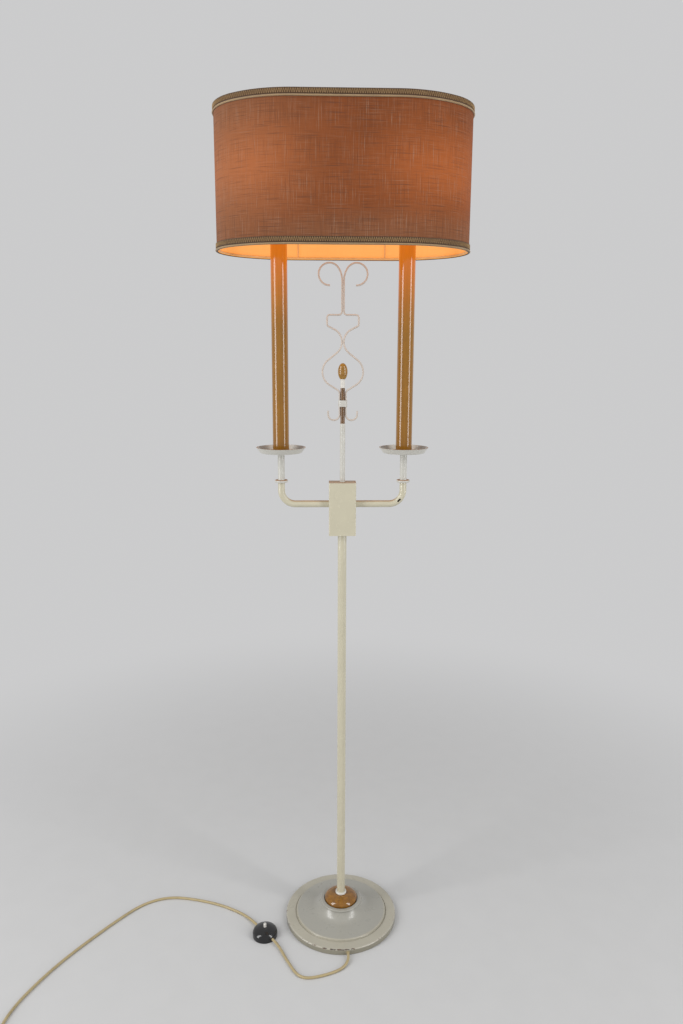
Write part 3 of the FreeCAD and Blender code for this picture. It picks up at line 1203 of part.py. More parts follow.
def main():
    build_foot()
    build_bun_and_pole()
    build_block()
    build_arms_and_candles()
    build_nuts()
    build_leads()
    build_stem_and_bead()
    build_scroll()
    build_shade()
    build_cord()
    tail = build_coil()
    build_switch()
    build_plug(tail)
    os.makedirs("parts", exist_ok=True)
    for name, shape in nodes.items():
        if not shape.isValid():
            print("not valid: " + name)
        shape.exportStep("parts/" + name + ".step")
    print("%d nodes" % len(nodes))


main()
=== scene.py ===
"""Floor lamp with two candle tubes under one oval shade: pieces, finishes and studio."""
from __future__ import annotations

import logging
import math
from dataclasses import dataclass, field
from enum import Enum
from functools import cache
from typing import Callable, ClassVar, Sequence

import bmesh
import bpy
from bmesh.types import BMEdge, BMesh, BMVert
from bpy.types import Material, Node, NodeSocket, NodeTree, Object
from mathutils import Matrix, Vector


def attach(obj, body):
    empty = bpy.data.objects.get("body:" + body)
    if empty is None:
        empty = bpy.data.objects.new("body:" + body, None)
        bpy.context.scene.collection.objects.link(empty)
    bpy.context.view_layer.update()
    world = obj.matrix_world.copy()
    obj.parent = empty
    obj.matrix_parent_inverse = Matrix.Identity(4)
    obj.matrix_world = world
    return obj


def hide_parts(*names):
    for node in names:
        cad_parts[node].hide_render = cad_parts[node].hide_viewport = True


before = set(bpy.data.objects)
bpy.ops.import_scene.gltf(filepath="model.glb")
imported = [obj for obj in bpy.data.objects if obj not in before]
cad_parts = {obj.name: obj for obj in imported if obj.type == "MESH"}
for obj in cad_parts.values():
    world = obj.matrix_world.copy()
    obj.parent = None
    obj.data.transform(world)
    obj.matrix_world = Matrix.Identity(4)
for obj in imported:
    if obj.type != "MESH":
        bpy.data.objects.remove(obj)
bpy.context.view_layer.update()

log = logging.getLogger("lamp")

MM = 0.001
MERGE = 1e-6
Color = tuple[float, float, float]
Point = tuple[float, float, float]


class Body(str, Enum):
    """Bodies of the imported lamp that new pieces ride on."""

    LAMP = "lamp"
    SHADE = "shade"


def shade_of(color: Color, share: float) -> Color:
    """Return a colour made darker or paler by one factor."""
    return tuple(min(channel * share, 1.0) for channel in color)


# ------------------------------------------------------------------ shader graph


class Graph:
    """Adds and joins shader nodes in one tree."""

    def __init__(self, tree: NodeTree) -> None:
        """Start with an empty tree."""
        self.tree = tree
        tree.nodes.clear()

    def feed(self, socket: NodeSocket, value: object) -> None:
        """Give an input a link or a constant.

        Args:
            socket: Input to feed.
            value: An output, or a value that the input takes; a colour has no alpha.
        """
        if isinstance(value, NodeSocket):
            self.tree.links.new(value, socket)
        else:
            socket.default_value = (*value, 1.0) if socket.type == "RGBA" else value

    def add(self, kind: str, values: dict[str | int, object] | None = None,
            **settings: object) -> Node:
        """Add a node, set its plain properties and feed its inputs.

        Args:
            kind: Node type without the ShaderNode prefix.
            values: Values and outputs by the name or number of the input.
            settings: Properties of the node.

        Returns:
            The new node.
        """
        node = self.tree.nodes.new("ShaderNode" + kind)
        for name, setting in settings.items():
            setattr(node, name, setting)
        for key, value in (values or {}).items():
            self.feed(node.inputs[key], value)
        return node

    def math(self, operation: str, *values: object) -> NodeSocket:
        """Return the result of one arithmetic step on up to three values."""
        return self.add("Math", dict(enumerate(values)), operation=operation).outputs[0]

    def times(self, first: object, second: object, plus: object = 0.0) -> NodeSocket:
        """Return the product of two values, with a third one added."""
        return self.math("MULTIPLY_ADD", first, second, plus)

    def minus(self, first: object, second: object) -> NodeSocket:
        """Return the first value less the second."""
        return self.math("SUBTRACT", first, second)

    def larger(self, first: object, second: object) -> NodeSocket:
        """Return the larger of two values."""
        return self.math("MAXIMUM", first, second)

    def hypotenuse(self, first: object, second: object) -> NodeSocket:
        """Return the length of a flat vector."""
        return self.math("SQRT", self.times(first, first, self.times(second, second)))

    def ramp(self, value: object, low: float, high: float, bottom: float = 0.0,
             top: float = 1.0) -> NodeSocket:
        """Return a value mapped smoothly from low and high to bottom and top, and clamped."""
        values = {"Value": value, "From Min": low, "From Max": high, "To Min": bottom, "To Max": top}
        return self.add("MapRange", values, interpolation_type="SMOOTHSTEP").outputs["Result"]

    def mix(self, amount: object, first: object, second: object) -> NodeSocket:
        """Return two colours blended, by the Mix node's colour inputs 6 and 7 and output 2."""
        return self.add("Mix", {0: amount, 6: first, 7: second}, data_type="RGBA").outputs[2]

    def toned(self, amount: object, color: Color, first: float, second: float) -> NodeSocket:
        """Return a blend of two tones of one colour, each given as a factor."""
        return self.mix(amount, shade_of(color, first), shade_of(color, second))

    def stretch(self, vector: object, scale: Point, turn: Point = (0.0, 0.0, 0.0)) -> NodeSocket:
        """Return coordinates scaled along each axis and turned in radians about it."""
        return self.add("Mapping", {"Vector": vector, "Scale": scale, "Rotation": turn}).outputs[0]

    def noise(self, vector: object, scale: object, detail: float = 2.0,
              roughness: float = 0.5) -> NodeSocket:
        """Return a noise value with so many octaves and such a weight of the finer ones."""
        values = {"Vector": vector, "Scale": scale, "Detail": detail, "Roughness": roughness}
        return self.add("TexNoise", values).outputs[0]

    def parts(self, vector: object) -> tuple[NodeSocket, ...]:
        """Return the X, Y and Z of a vector."""
        return tuple(self.add("SeparateXYZ", {0: vector}).outputs)


# ------------------------------------------------------------------ shared effects


class Effect(Graph):
    """Node group that several finishes share, with single values as its outputs."""

    def __init__(self, name: str, **inputs: float | None) -> None:
        """Start the group.

        Args:
            name: Name of the group.
            inputs: Default of each input, or None for a vector.
        """
        super().__init__(bpy.data.node_groups.new(name, "ShaderNodeTree"))
        for title, default in inputs.items():
            kind = "NodeSocketVector" if default is None else "NodeSocketFloat"
            socket = self.tree.interface.new_socket(title, in_out="INPUT", socket_type=kind)
            if default is not None:
                socket.default_value = default
        self.given = self.tree.nodes.new("NodeGroupInput").outputs[:len(inputs)]

    def give(self, **results: NodeSocket) -> NodeTree:
        """Make and feed the outputs.

        Args:
            results: Value of each output.

        Returns:
            The finished group.
        """
        for title in results:
            self.tree.interface.new_socket(title, in_out="OUTPUT", socket_type="NodeSocketFloat")
        end = self.tree.nodes.new("NodeGroupOutput")
        for title, value in results.items():
            self.feed(end.inputs[title], value)
        return self.tree


@cache
def orange_peel() -> NodeTree:
    """Return the fine unevenness of sprayed enamel.

    Returns:
        The node group.
    """
    graph = Effect("Orange Peel", Vector=None, Scale=700.0)
    vector, scale = graph.given
    coarse = graph.noise(vector, graph.times(scale, 0.22))
    return graph.give(Height=graph.times(coarse, 0.8, graph.noise(vector, scale, 1.0)))


@cache
def marbling() -> NodeTree:
    """Return the cloudy marbling of amber-coloured resin.

    Returns:
        The node group.
    """
    graph = Effect("Marbling", Vector=None, Scale=90.0)
    vector, scale = graph.given
    warp = graph.add("TexNoise", {"Vector": vector, "Scale": graph.times(scale, 0.6)})
    pushed = graph.add("VectorMath", {0: warp.outputs["Color"], 1: (0.012, 0.012, 0.012), 2: vector},
                       operation="MULTIPLY_ADD").outputs[0]
    fine = graph.noise(pushed, graph.times(scale, 3.1), 3.0)
    return graph.give(Tone=graph.ramp(graph.noise(pushed, scale, 4.0, 0.6), 0.30, 0.70),
                      Vein=graph.ramp(fine, 0.56, 0.70))


@cache
def settled_dust() -> NodeTree:
    """Return the thin dust that settles on faces that look upwards.

    Returns:
        The node group.
    """
    graph = Effect("Settled Dust", Vector=None, Normal=None, Amount=0.3)
    vector, normal, amount = graph.given
    upward = graph.ramp(graph.parts(normal)[2], 0.35, 0.95)
    patches = graph.ramp(graph.noise(vector, 60.0, 4.0, 0.6), 0.35, 0.75, 0.35, 1.0)
    specks = graph.ramp(graph.noise(vector, 900.0, 1.0), 0.66, 0.76, 0.0, 0.5)
    return graph.give(Mask=graph.times(graph.times(upward, graph.larger(patches, specks)), amount))


@cache
def scuffs() -> NodeTree:
    """Return rubbing marks and fine scratches that change the gloss.

    Returns:
        The node group.
    """
    graph = Effect("Scuffs", Vector=None, Scale=60.0)
    vector, scale = graph.given
    lines = graph.noise(graph.stretch(vector, (1.0, 1.0, 0.06), (0.3, 0.4, 0.0)), 900.0)
    return graph.give(Rough=graph.ramp(graph.noise(vector, scale, 4.0, 0.65), 0.35, 0.75),
                      Scratch=graph.ramp(lines, 0.66, 0.74))


@cache
def plain_weave() -> NodeTree:
    """Return a weave of uneven threads, on coordinates in metres along the cloth.

    Returns:
        The node group.
    """
    graph = Effect("Plain Weave", Vector=None, Pitch=0.0009)
    cloth, pitch = graph.given
    across, along, _ = graph.parts(cloth)
    turns = graph.math("DIVIDE", math.tau, pitch)
    wobble = graph.times(graph.noise(cloth, 40.0), 6.0)
    threads = graph.larger(*(graph.math("SINE", graph.times(way, turns, wobble))
                             for way in (across, along)))
    level = graph.noise(graph.stretch(cloth, (19.0, 900.0, 1.0)), 1.0, 3.0, 0.6)
    upright = graph.noise(graph.stretch(cloth, (880.0, 18.0, 1.0)), 1.0, 3.0, 0.6)
    pale = graph.larger(graph.ramp(level, 0.56, 0.74, 0.0, 0.7), graph.ramp(upright, 0.54, 0.72))
    dark = graph.larger(graph.ramp(level, 0.47, 0.31), graph.ramp(upright, 0.44, 0.30, 0.0, 0.8))
    lumps = graph.minus(graph.times(pale, 1.6), dark)
    return graph.give(Height=graph.times(threads, 0.5, lumps), Pale=pale, Dark=dark,
                      Tone=graph.noise(cloth, 14.0, 3.0, 0.6))


@cache
def bulb_glow() -> NodeTree:
    """Return the light that the two bulbs throw on the shade, strongest nearest to each.

    Returns:
        The node group.
    """
    graph = Effect("Bulb Glow", Vector=None, Spread=0.1123, Height=1.415, Reach=0.0108, Fall=2.5)
    place, spread, height, reach, fall = graph.given
    x, y, z = graph.parts(place)
    rise = graph.minus(z, height)
    shared = graph.times(y, y, graph.times(rise, rise))
    glows = []
    for way in ("SUBTRACT", "ADD"):
        aside = graph.math(way, x, spread)
        distance = graph.larger(graph.times(aside, aside, shared), 0.002)
        glows.append(graph.math("POWER", graph.math("DIVIDE", reach, distance), fall))
    return graph.give(Glow=graph.math("ADD", *glows))


# ------------------------------------------------------------------ finishes


class Surface(Graph):
    """Graph of one material, with the coordinates and effects that finishes read."""

    def __init__(self, tree: NodeTree) -> None:
        """Start with the place on the object, its normal and the way along its cloth.

        Args:
            tree: Node tree of a material.
        """
        super().__init__(tree)
        coordinates = self.add("TexCoord").outputs
        self.spot, self.normal, self.cloth = (coordinates[name] for name in ("Object", "Normal", "UV"))
        self.x, self.y, self.z = self.parts(self.spot)

    def use(self, effect: Callable[[], NodeTree], **values: object) -> bpy.types.NodeOutputs:
        """Return the outputs of an effect, which reads the place unless told otherwise."""
        return self.add("Group", {"Vector": self.spot, **values}, node_tree=effect()).outputs

    def bump(self, height: object, depth: float, strength: float) -> NodeSocket:
        """Return the normal of a height whose value of one is so many metres."""
        return self.add("Bump", {"Height": height, "Distance": depth, "Strength": strength}).outputs[0]

    def glow(self, amount: object, color: Color) -> dict[str, object]:
        """Return the shader inputs of light given off, with amount as its share of the colour."""
        return {"Emission Color": self.mix(amount, (0.0, 0.0, 0.0), color), "Emission Strength": 1.0}


@dataclass(frozen=True)
class Finish:
    """A surface finish that becomes one material."""

    name: str

    def paint(self, graph: Surface) -> dict[str, object]:
        """Work out the finish.

        Args:
            graph: Graph of the material.

        Returns:
            The Principled BSDF's values and sockets by input name.
        """
        raise NotImplementedError

    @cache
    def material(self) -> Material:
        """Make the material at its first use.

        Returns:
            The finished material.
        """
        material = bpy.data.materials.new(self.name)
        material.use_nodes = True
        graph = Surface(material.node_tree)
        surface = graph.add("BsdfPrincipled", self.paint(graph))
        graph.add("OutputMaterial", {"Surface": surface.outputs[0]})
        return material


@dataclass(frozen=True)
class Enamel(Finish):
    """Sprayed cream enamel, slightly uneven and dulled by handling, with painted orange light on faces
    that look upwards.
    """

    color: Color = (0.510, 0.475, 0.355)
    gloss_roughness: float = 0.20
    dust_amount: float = 0.10
    dust_color: Color = (0.36, 0.33, 0.27)
    # painted light: share and colour of the shade's orange glow painted on upward faces
    painted_glow: float = 0.0
    painted_glow_color: Color = (0.32, 0.125, 0.018)
    coat: float = 0.5
    peel_height: float = 0.00004

    def paint(self, graph: Surface) -> dict[str, object]:
        """Return the enamel's shader inputs.

        Args:
            graph: Graph of the material.

        Returns:
            Values and sockets by input name.
        """
        dust = graph.use(settled_dust, Normal=graph.normal, Amount=self.dust_amount)["Mask"]
        cloud = graph.noise(graph.spot, 22.0, 3.0, 0.6)
        color = graph.toned(graph.ramp(cloud, 0.3, 0.7, 0.0, 0.55), self.color, 1.04, 0.93)
        # painted light: faces that look upwards are tinted orange-brown, as if lit by the glowing shade
        # above
        upward = graph.ramp(graph.parts(graph.normal)[2], 0.55, 0.95, 0.0, self.painted_glow)
        color = graph.mix(upward, graph.mix(dust, color, self.dust_color), self.painted_glow_color)
        rough = graph.times(graph.use(scuffs)["Rough"], 0.12, self.gloss_roughness)
        rough = graph.times(dust, 0.3, graph.times(upward, 0.4, rough))
        peel = graph.use(orange_peel)["Height"]
        return {"Base Color": color, "Roughness": rough, "Coat Roughness": 0.07,
                "Coat Weight": graph.times(upward, -self.coat, self.coat),
                "Normal": graph.bump(peel, self.peel_height, 0.35)}


@dataclass(frozen=True)
class ChippedEnamel(Enamel):
    """Enamel of the foot, knocked off to dark steel along the top edge of its side wall."""

    edge_radius: float = 0.1102
    edge_height: float = 0.0112
    side_radius: float = 0.108
    groove_radius: float = 0.0908
    dome_radius: float = 0.0895
    chips_at_x: float = -0.008
    steel: Color = (0.045, 0.040, 0.036)
    rust: Color = (0.10, 0.05, 0.025)
    dome_shade_color: Color = (0.300, 0.297, 0.272)
    rubbed_color: Color = (0.62, 0.60, 0.54)
    grime_and_shade: Color = (0.195, 0.180, 0.130)

    def paint(self, graph: Surface) -> dict[str, object]:
        """Return the inputs of enamel with chips, a rubbed rim, and painted shade low on the side wall
        and along the groove.

        Args:
            graph: Graph of the material.

        Returns:
            Values and sockets by input name.
        """
        inputs = super().paint(graph)
        radius = graph.hypotenuse(graph.x, graph.y)
        away = graph.hypotenuse(graph.minus(radius, self.edge_radius),
                                graph.minus(graph.z, self.edge_height))
        flakes = graph.noise(graph.spot, 150.0, 4.0, 0.62)
        front = graph.ramp(graph.y, -0.088, -0.107)
        aside = graph.math("ABSOLUTE", graph.minus(graph.x, self.chips_at_x))
        often = graph.times(graph.times(front, graph.ramp(aside, 0.045, 0.020)), 0.125, 0.305)
        chips = graph.ramp(graph.times(graph.ramp(away, 0.0034, 0.0004), often, flakes), 0.895, 0.915)
        rubbed = graph.times(graph.ramp(away, 0.0026, 0.0002), graph.ramp(flakes, 0.35, 0.6, 0.06, 0.24))
        # painted shade: the side wall darkens towards the floor, and a soft dark line follows the groove
        low = graph.times(graph.ramp(graph.z, 0.0108, 0.0088, 0.0, 0.72),
                          graph.ramp(radius, self.side_radius - 0.002, self.side_radius))
        from_groove = graph.math("ABSOLUTE", graph.minus(radius, self.groove_radius))
        painted_shade = graph.larger(low, graph.ramp(from_groove, 0.0022, 0.0004, 0.0, 0.18))
        # painted shade: the dome is greyer and darker than the rim, though it is the same enamel
        dome = graph.ramp(radius, self.dome_radius, self.dome_radius - 0.003, 0.0, 0.7)
        color = graph.mix(dome, inputs["Base Color"], self.dome_shade_color)
        color = graph.mix(painted_shade, graph.mix(rubbed, color, self.rubbed_color), self.grime_and_shade)
        bare = graph.mix(graph.ramp(flakes, 0.5, 0.62), self.steel, self.rust)
        height = graph.times(chips, -3.0, graph.use(orange_peel)["Height"])
        return inputs | {"Base Color": graph.mix(chips, color, bare), "Coat Roughness": 0.20,
                         "Roughness": graph.times(chips, 0.25, inputs["Roughness"]),
                         "Normal": graph.bump(height, 0.00006, 0.6)}


@dataclass(frozen=True)
class SleevedRod(Finish):
    """Rod with painted shade: dark brown below its white sleeve, where the wires flank it, and white
    under the bead.
    """

    color: Color = (0.105, 0.050, 0.014)
    sleeve: Color = (0.60, 0.585, 0.54)
    smear: Color = (0.42, 0.38, 0.30)
    sleeve_from: float = 1.0655

    def paint(self, graph: Surface) -> dict[str, object]:
        """Return the rod's shader inputs.

        Args:
            graph: Graph of the material.

        Returns:
            Values and sockets by input name.
        """
        over = graph.ramp(graph.z, self.sleeve_from, self.sleeve_from + 0.0006)
        stain = graph.noise(graph.stretch(graph.spot, (1.0, 1.0, 0.2)), 180.0, 3.0, 0.6)
        # painted shade: the rod is dark brown below the sleeve, where the wires stand close on both sides
        shaded_rod = graph.toned(graph.ramp(stain, 0.35, 0.7), self.color, 1.0, 1.5)
        sleeve = graph.mix(graph.ramp(stain, 0.5, 0.8, 0.0, 0.3), self.sleeve, self.smear)
        return {"Base Color": graph.mix(over, shaded_rod, sleeve), "Roughness": graph.times(stain, 0.15, 0.30),
                "Coat Weight": 0.3, "Coat Roughness": 0.08,
                "Normal": graph.bump(stain, 0.000004, 0.2)}


@dataclass(frozen=True)
class Amber(Finish):
    """Marbled amber-coloured resin with a polished skin."""

    deep: Color = (0.160, 0.064, 0.003)
    bright: Color = (0.275, 0.115, 0.004)
    marbling: float = 110.0

    def paint(self, graph: Surface) -> dict[str, object]:
        """Return the resin's shader inputs.

        Args:
            graph: Graph of the material.

        Returns:
            Values and sockets by input name.
        """
        mottle = graph.use(marbling, Scale=self.marbling)
        color = graph.mix(mottle["Tone"], self.deep, self.bright)
        color = graph.mix(graph.times(mottle["Vein"], 0.2), color, shade_of(self.bright, 1.35))
        marks = graph.use(scuffs)
        return {"Base Color": color, "Roughness": graph.times(marks["Rough"], 0.08, 0.12),
                "Coat Weight": 0.45, "Coat Roughness": 0.06,
                "Subsurface Weight": 0.12, "Subsurface Radius": (0.006, 0.003, 0.001),
                "Normal": graph.bump(marks["Scratch"], 0.00001, 0.4)}


@dataclass(frozen=True)
class CandleSleeve(Finish):
    """Amber candle tube, a little translucent and glowing where the bulb stands in it."""

    color: Color = (0.260, 0.112, 0.006)
    glow_color: Color = (1.0, 0.19, 0.012)
    glow_from: float = 1.15
    glow_full: float = 1.32

    def paint(self, graph: Surface) -> dict[str, object]:
        """Return the sleeve's shader inputs.

        Args:
            graph: Graph of the material.

        Returns:
            Values and sockets by input name.
        """
        streaks = graph.noise(graph.stretch(graph.spot, (1.0, 1.0, 0.05)), 260.0, 3.0, 0.6)
        color = graph.toned(graph.ramp(streaks, 0.35, 0.7, 0.0, 0.5), self.color, 1.0, 0.72)
        smoke = graph.ramp(graph.noise(graph.spot, 30.0, 4.0, 0.6), 0.5, 0.75, 0.0, 0.35)
        lit = graph.ramp(graph.z, self.glow_from, self.glow_full, 0.0, 0.40)
        return {"Base Color": graph.mix(smoke, color, shade_of(self.color, 1.25)),
                "Roughness": graph.times(graph.use(scuffs)["Rough"], 0.08, 0.12),
                "Coat Weight": 0.45, "Coat Roughness": 0.06, "Specular IOR Level": 0.4,
                "Normal": graph.bump(streaks, 0.000006, 0.2), **graph.glow(lit, self.glow_color)}


@dataclass(frozen=True)
class LitCloth(Finish):
    """Slubbed cloth lit from inside by the bulbs, with painted light paling its left side, and paler
    towards its hem.
    """

    color: Color = (0.158, 0.046, 0.015)
    side_light_and_hem_tone: Color = (0.175, 0.088, 0.048)
    glow_color: Color = (1.0, 0.260, 0.060)
    light: float = 0.17
    base_light: float = 0.02
    fall: float = 2.5
    pitch: float = 0.0009
    pale: Color = (0.27, 0.17, 0.115)
    dark: Color = (0.050, 0.032, 0.026)
    slubs: float = 0.72

    def paint(self, graph: Surface) -> dict[str, object]:
        """Return the cloth's shader inputs.

        Args:
            graph: Graph of the material.

        Returns:
            Values and sockets by input name.
        """
        weave = graph.use(plain_weave, Vector=graph.cloth, Pitch=self.pitch)
        color = graph.toned(graph.ramp(weave["Tone"], 0.3, 0.7), self.color, 1.1, 0.9)
        # painted light: the left end is made paler as if lit from the left; the cloth also pales towards
        # the hem
        side = graph.ramp(graph.x, 0.02, -0.26, 0.0, 0.75)
        hem = graph.ramp(graph.z, 1.370, 1.305, 0.0, 0.55)
        color = graph.mix(graph.larger(side, hem), color, self.side_light_and_hem_tone)
        color = graph.mix(graph.times(weave["Pale"], self.slubs), color, self.pale)
        color = graph.mix(graph.times(weave["Dark"], self.slubs), color, self.dark)
        bulbs = graph.use(bulb_glow, Fall=self.fall)["Glow"]
        thick = graph.math("ADD", weave["Dark"], weave["Pale"])
        lit = graph.times(graph.times(bulbs, self.light, self.base_light),
                          graph.times(thick, -0.53 * self.slubs, 1.0))
        return {"Base Color": color, "Roughness": 0.9, "Sheen Weight": 0.06, "Sheen Roughness": 0.5,
                "Specular IOR Level": 0.1, "Normal": graph.bump(weave["Height"], 0.00012, 0.7),
                **graph.glow(lit, self.glow_color)}


@dataclass(frozen=True)
class Braid(Finish):
    """Olive-beige gimp braid with a dry, fibrous surface."""

    color: Color = (0.240, 0.160, 0.072)
    glow_color: Color = (1.0, 0.36, 0.12)

    def paint(self, graph: Surface) -> dict[str, object]:
        """Return the braid's shader inputs.

        Args:
            graph: Graph of the material.

        Returns:
            Values and sockets by input name.
        """
        fibres = graph.noise(graph.stretch(graph.spot, (1.0, 1.0, 2.5)), 1400.0, 3.0, 0.7)
        cloud = graph.ramp(graph.noise(graph.spot, 35.0, 3.0), 0.4, 0.7, 0.0, 0.4)
        color = graph.toned(graph.ramp(fibres, 0.35, 0.65), self.color, 0.75, 1.3)
        lit = graph.times(graph.use(bulb_glow, Fall=1.5)["Glow"], 0.10)
        return {"Base Color": graph.mix(cloud, color, shade_of(self.color, 0.65)),
                "Roughness": 0.82, "Sheen Weight": 0.2, "Sheen Roughness": 0.4,
                "Normal": graph.bump(fibres, 0.0002, 0.6), **graph.glow(lit, self.glow_color)}


@dataclass(frozen=True)
class Felt(Finish):
    """Pressed felt under the foot."""

    color: Color = (0.055, 0.062, 0.050)
    lint: Color = (0.09, 0.085, 0.07)

    def paint(self, graph: Surface) -> dict[str, object]:
        """Return the felt's shader inputs.

        Args:
            graph: Graph of the material.

        Returns:
            Values and sockets by input name.
        """
        hairs = graph.noise(graph.spot, 900.0, 5.0, 0.75)
        matted = graph.ramp(graph.noise(graph.spot, 45.0, 3.0), 0.45, 0.7, 0.0, 0.4)
        color = graph.toned(graph.ramp(hairs, 0.35, 0.7), self.color, 0.6, 1.7)
        return {"Base Color": graph.mix(matted, color, self.lint), "Roughness": 0.95,
                "Sheen Weight": 0.4, "Sheen Roughness": 0.6, "Normal": graph.bump(hairs, 0.0003, 0.8)}


@dataclass(frozen=True)
class Metal(Finish):
    """Bare or plated metal with handling marks."""

    color: Color = (0.60, 0.60, 0.60)
    roughness: float = 0.25
    tarnish: Color = (0.25, 0.22, 0.18)
    tarnish_amount: float = 0.25

    def paint(self, graph: Surface) -> dict[str, object]:
        """Return the metal's shader inputs.

        Args:
            graph: Graph of the material.

        Returns:
            Values and sockets by input name.
        """
        marks = graph.use(scuffs, Scale=120.0)
        stain = graph.times(marks["Rough"], self.tarnish_amount)
        return {"Base Color": graph.mix(stain, self.color, self.tarnish), "Metallic": 1.0,
                "Roughness": graph.times(marks["Rough"], 0.18, self.roughness),
                "Normal": graph.bump(marks["Scratch"], 0.00002, 0.4)}


@dataclass(frozen=True)
class CastIron(Finish):
    """Rough grey casting with patches of rust."""

    color: Color = (0.085, 0.080, 0.078)
    rust_color: Color = (0.16, 0.07, 0.03)

    def paint(self, graph: Surface) -> dict[str, object]:
        """Return the casting's shader inputs.

        Args:
            graph: Graph of the material.

        Returns:
            Values and sockets by input name.
        """
        grain = graph.noise(graph.spot, 420.0, 5.0, 0.7)
        rust = graph.ramp(graph.noise(graph.spot, 55.0, 4.0, 0.6), 0.52, 0.68, 0.0, 0.6)
        color = graph.toned(graph.ramp(grain, 0.3, 0.7), self.color, 0.7, 1.3)
        return {"Base Color": graph.mix(rust, color, self.rust_color), "Roughness": 0.7,
                "Metallic": graph.minus(0.8, rust), "Normal": graph.bump(grain, 0.0004, 0.7)}


@dataclass(frozen=True)
class Moulded(Finish):
    """Moulded plastic or rubber with a fine grain and faint grime."""

    color: Color = (0.60, 0.58, 0.52)
    roughness: float = 0.45
    grain: float = 0.00003
    grime_and_shade: Color = (0.25, 0.22, 0.16)
    coat: float = 0.0
    dust_amount: float = 0.15
    dust_color: Color = (0.30, 0.28, 0.24)

    def paint(self, graph: Surface) -> dict[str, object]:
        """Return the plastic's shader inputs.

        Args:
            graph: Graph of the material.

        Returns:
            Values and sockets by input name.
        """
        cloud = graph.noise(graph.spot, 70.0, 4.0, 0.6)
        dust = graph.use(settled_dust, Normal=graph.normal, Amount=self.dust_amount)["Mask"]
        color = graph.mix(graph.ramp(cloud, 0.45, 0.75, 0.0, 0.30), self.color, self.grime_and_shade)
        rough = graph.times(graph.ramp(cloud, 0.3, 0.7), 0.1, self.roughness)
        return {"Base Color": graph.mix(dust, color, self.dust_color),
                "Roughness": graph.times(dust, 0.3, rough), "Coat Weight": self.coat,
                "Coat Roughness": 0.05,
                "Normal": graph.bump(graph.noise(graph.spot, 1500.0), self.grain, 0.5)}


@dataclass(frozen=True)
class LitGlass(Finish):
    """Frosted bulb, glowing most in its belly."""

    color: Color = (0.80, 0.74, 0.66)
    hot: Color = (1.0, 0.72, 0.42)
    cool: Color = (0.75, 0.30, 0.10)
    belly: float = 1.405
    brightness: float = 2.2

    def paint(self, graph: Surface) -> dict[str, object]:
        """Return the bulb's shader inputs.

        Args:
            graph: Graph of the material.

        Returns:
            Values and sockets by input name.
        """
        away = graph.math("ABSOLUTE", graph.minus(graph.z, self.belly))
        heat = graph.ramp(away, 0.040, 0.006, 0.25, 1.0)
        return {"Base Color": self.color, "Roughness": 0.35,
                "Emission Color": graph.mix(heat, self.cool, self.hot),
                "Emission Strength": self.brightness,
                "Normal": graph.bump(graph.noise(graph.spot, 600.0, 3.0), 0.00005, 0.5)}


# ------------------------------------------------------------------ pieces


def link(name: str, data: bpy.types.ID) -> Object:
    """Put an object in the scene, at the origin.

    Args:
        name: Name of the object.
        data: Its mesh, curve, camera or light.

    Returns:
        The new object.
    """
    made = bpy.data.objects.new(name, data)
    bpy.context.scene.collection.objects.link(made)
    return made


def piece_of(name: str, bm: BMesh) -> Object:
    """Turn a bmesh into a piece with smooth shading.

    Args:
        name: Name of the piece.
        bm: Its mesh in metres, freed here.

    Returns:
        The piece.
    """
    mesh = bpy.data.meshes.new(name)
    bm.to_mesh(mesh)
    bm.free()
    mesh.shade_smooth()
    return link(name, mesh)


def dress(finish: Finish, *nodes: str) -> None:
    """Give CAD nodes a finish.

    Args:
        finish: The finish.
        nodes: Names of the nodes.
    """
    for name in nodes:
        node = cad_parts[name]
        if not node.data.materials:
            node.data.materials.append(None)
        for slot in node.material_slots:
            slot.material = finish.material()
    log.info("%s on %s", finish.name, ", ".join(nodes))


def clothe(piece: Object, finish: Finish, body: Body, slot: str, *replaced: str) -> Object:
    """Give a new piece its finish, its body and the nodes it stands for.

    Args:
        piece: The new piece.
        finish: Its finish.
        body: Body that it moves with.
        slot: Material slot of the record; not used.
        replaced: CAD nodes that it stands for.

    Returns:
        The same piece.
    """
    piece.data.materials.append(finish.material())
    if replaced:
        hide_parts(*replaced)
    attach(piece, body.value)
    log.info("%s made, %s", piece.name, finish.name)
    return piece


class Assembly:
    """A sub-assembly of the lamp, with the finishes of its CAD nodes."""

    looks: ClassVar[dict[Finish, tuple[str, ...]]] = {}

    def build(self) -> None:
        """Dress the CAD nodes; a sub-assembly with pieces of its own makes these first."""
        for finish, nodes in self.looks.items():
            dress(finish, *nodes)


# ------------------------------------------------------------------ shade


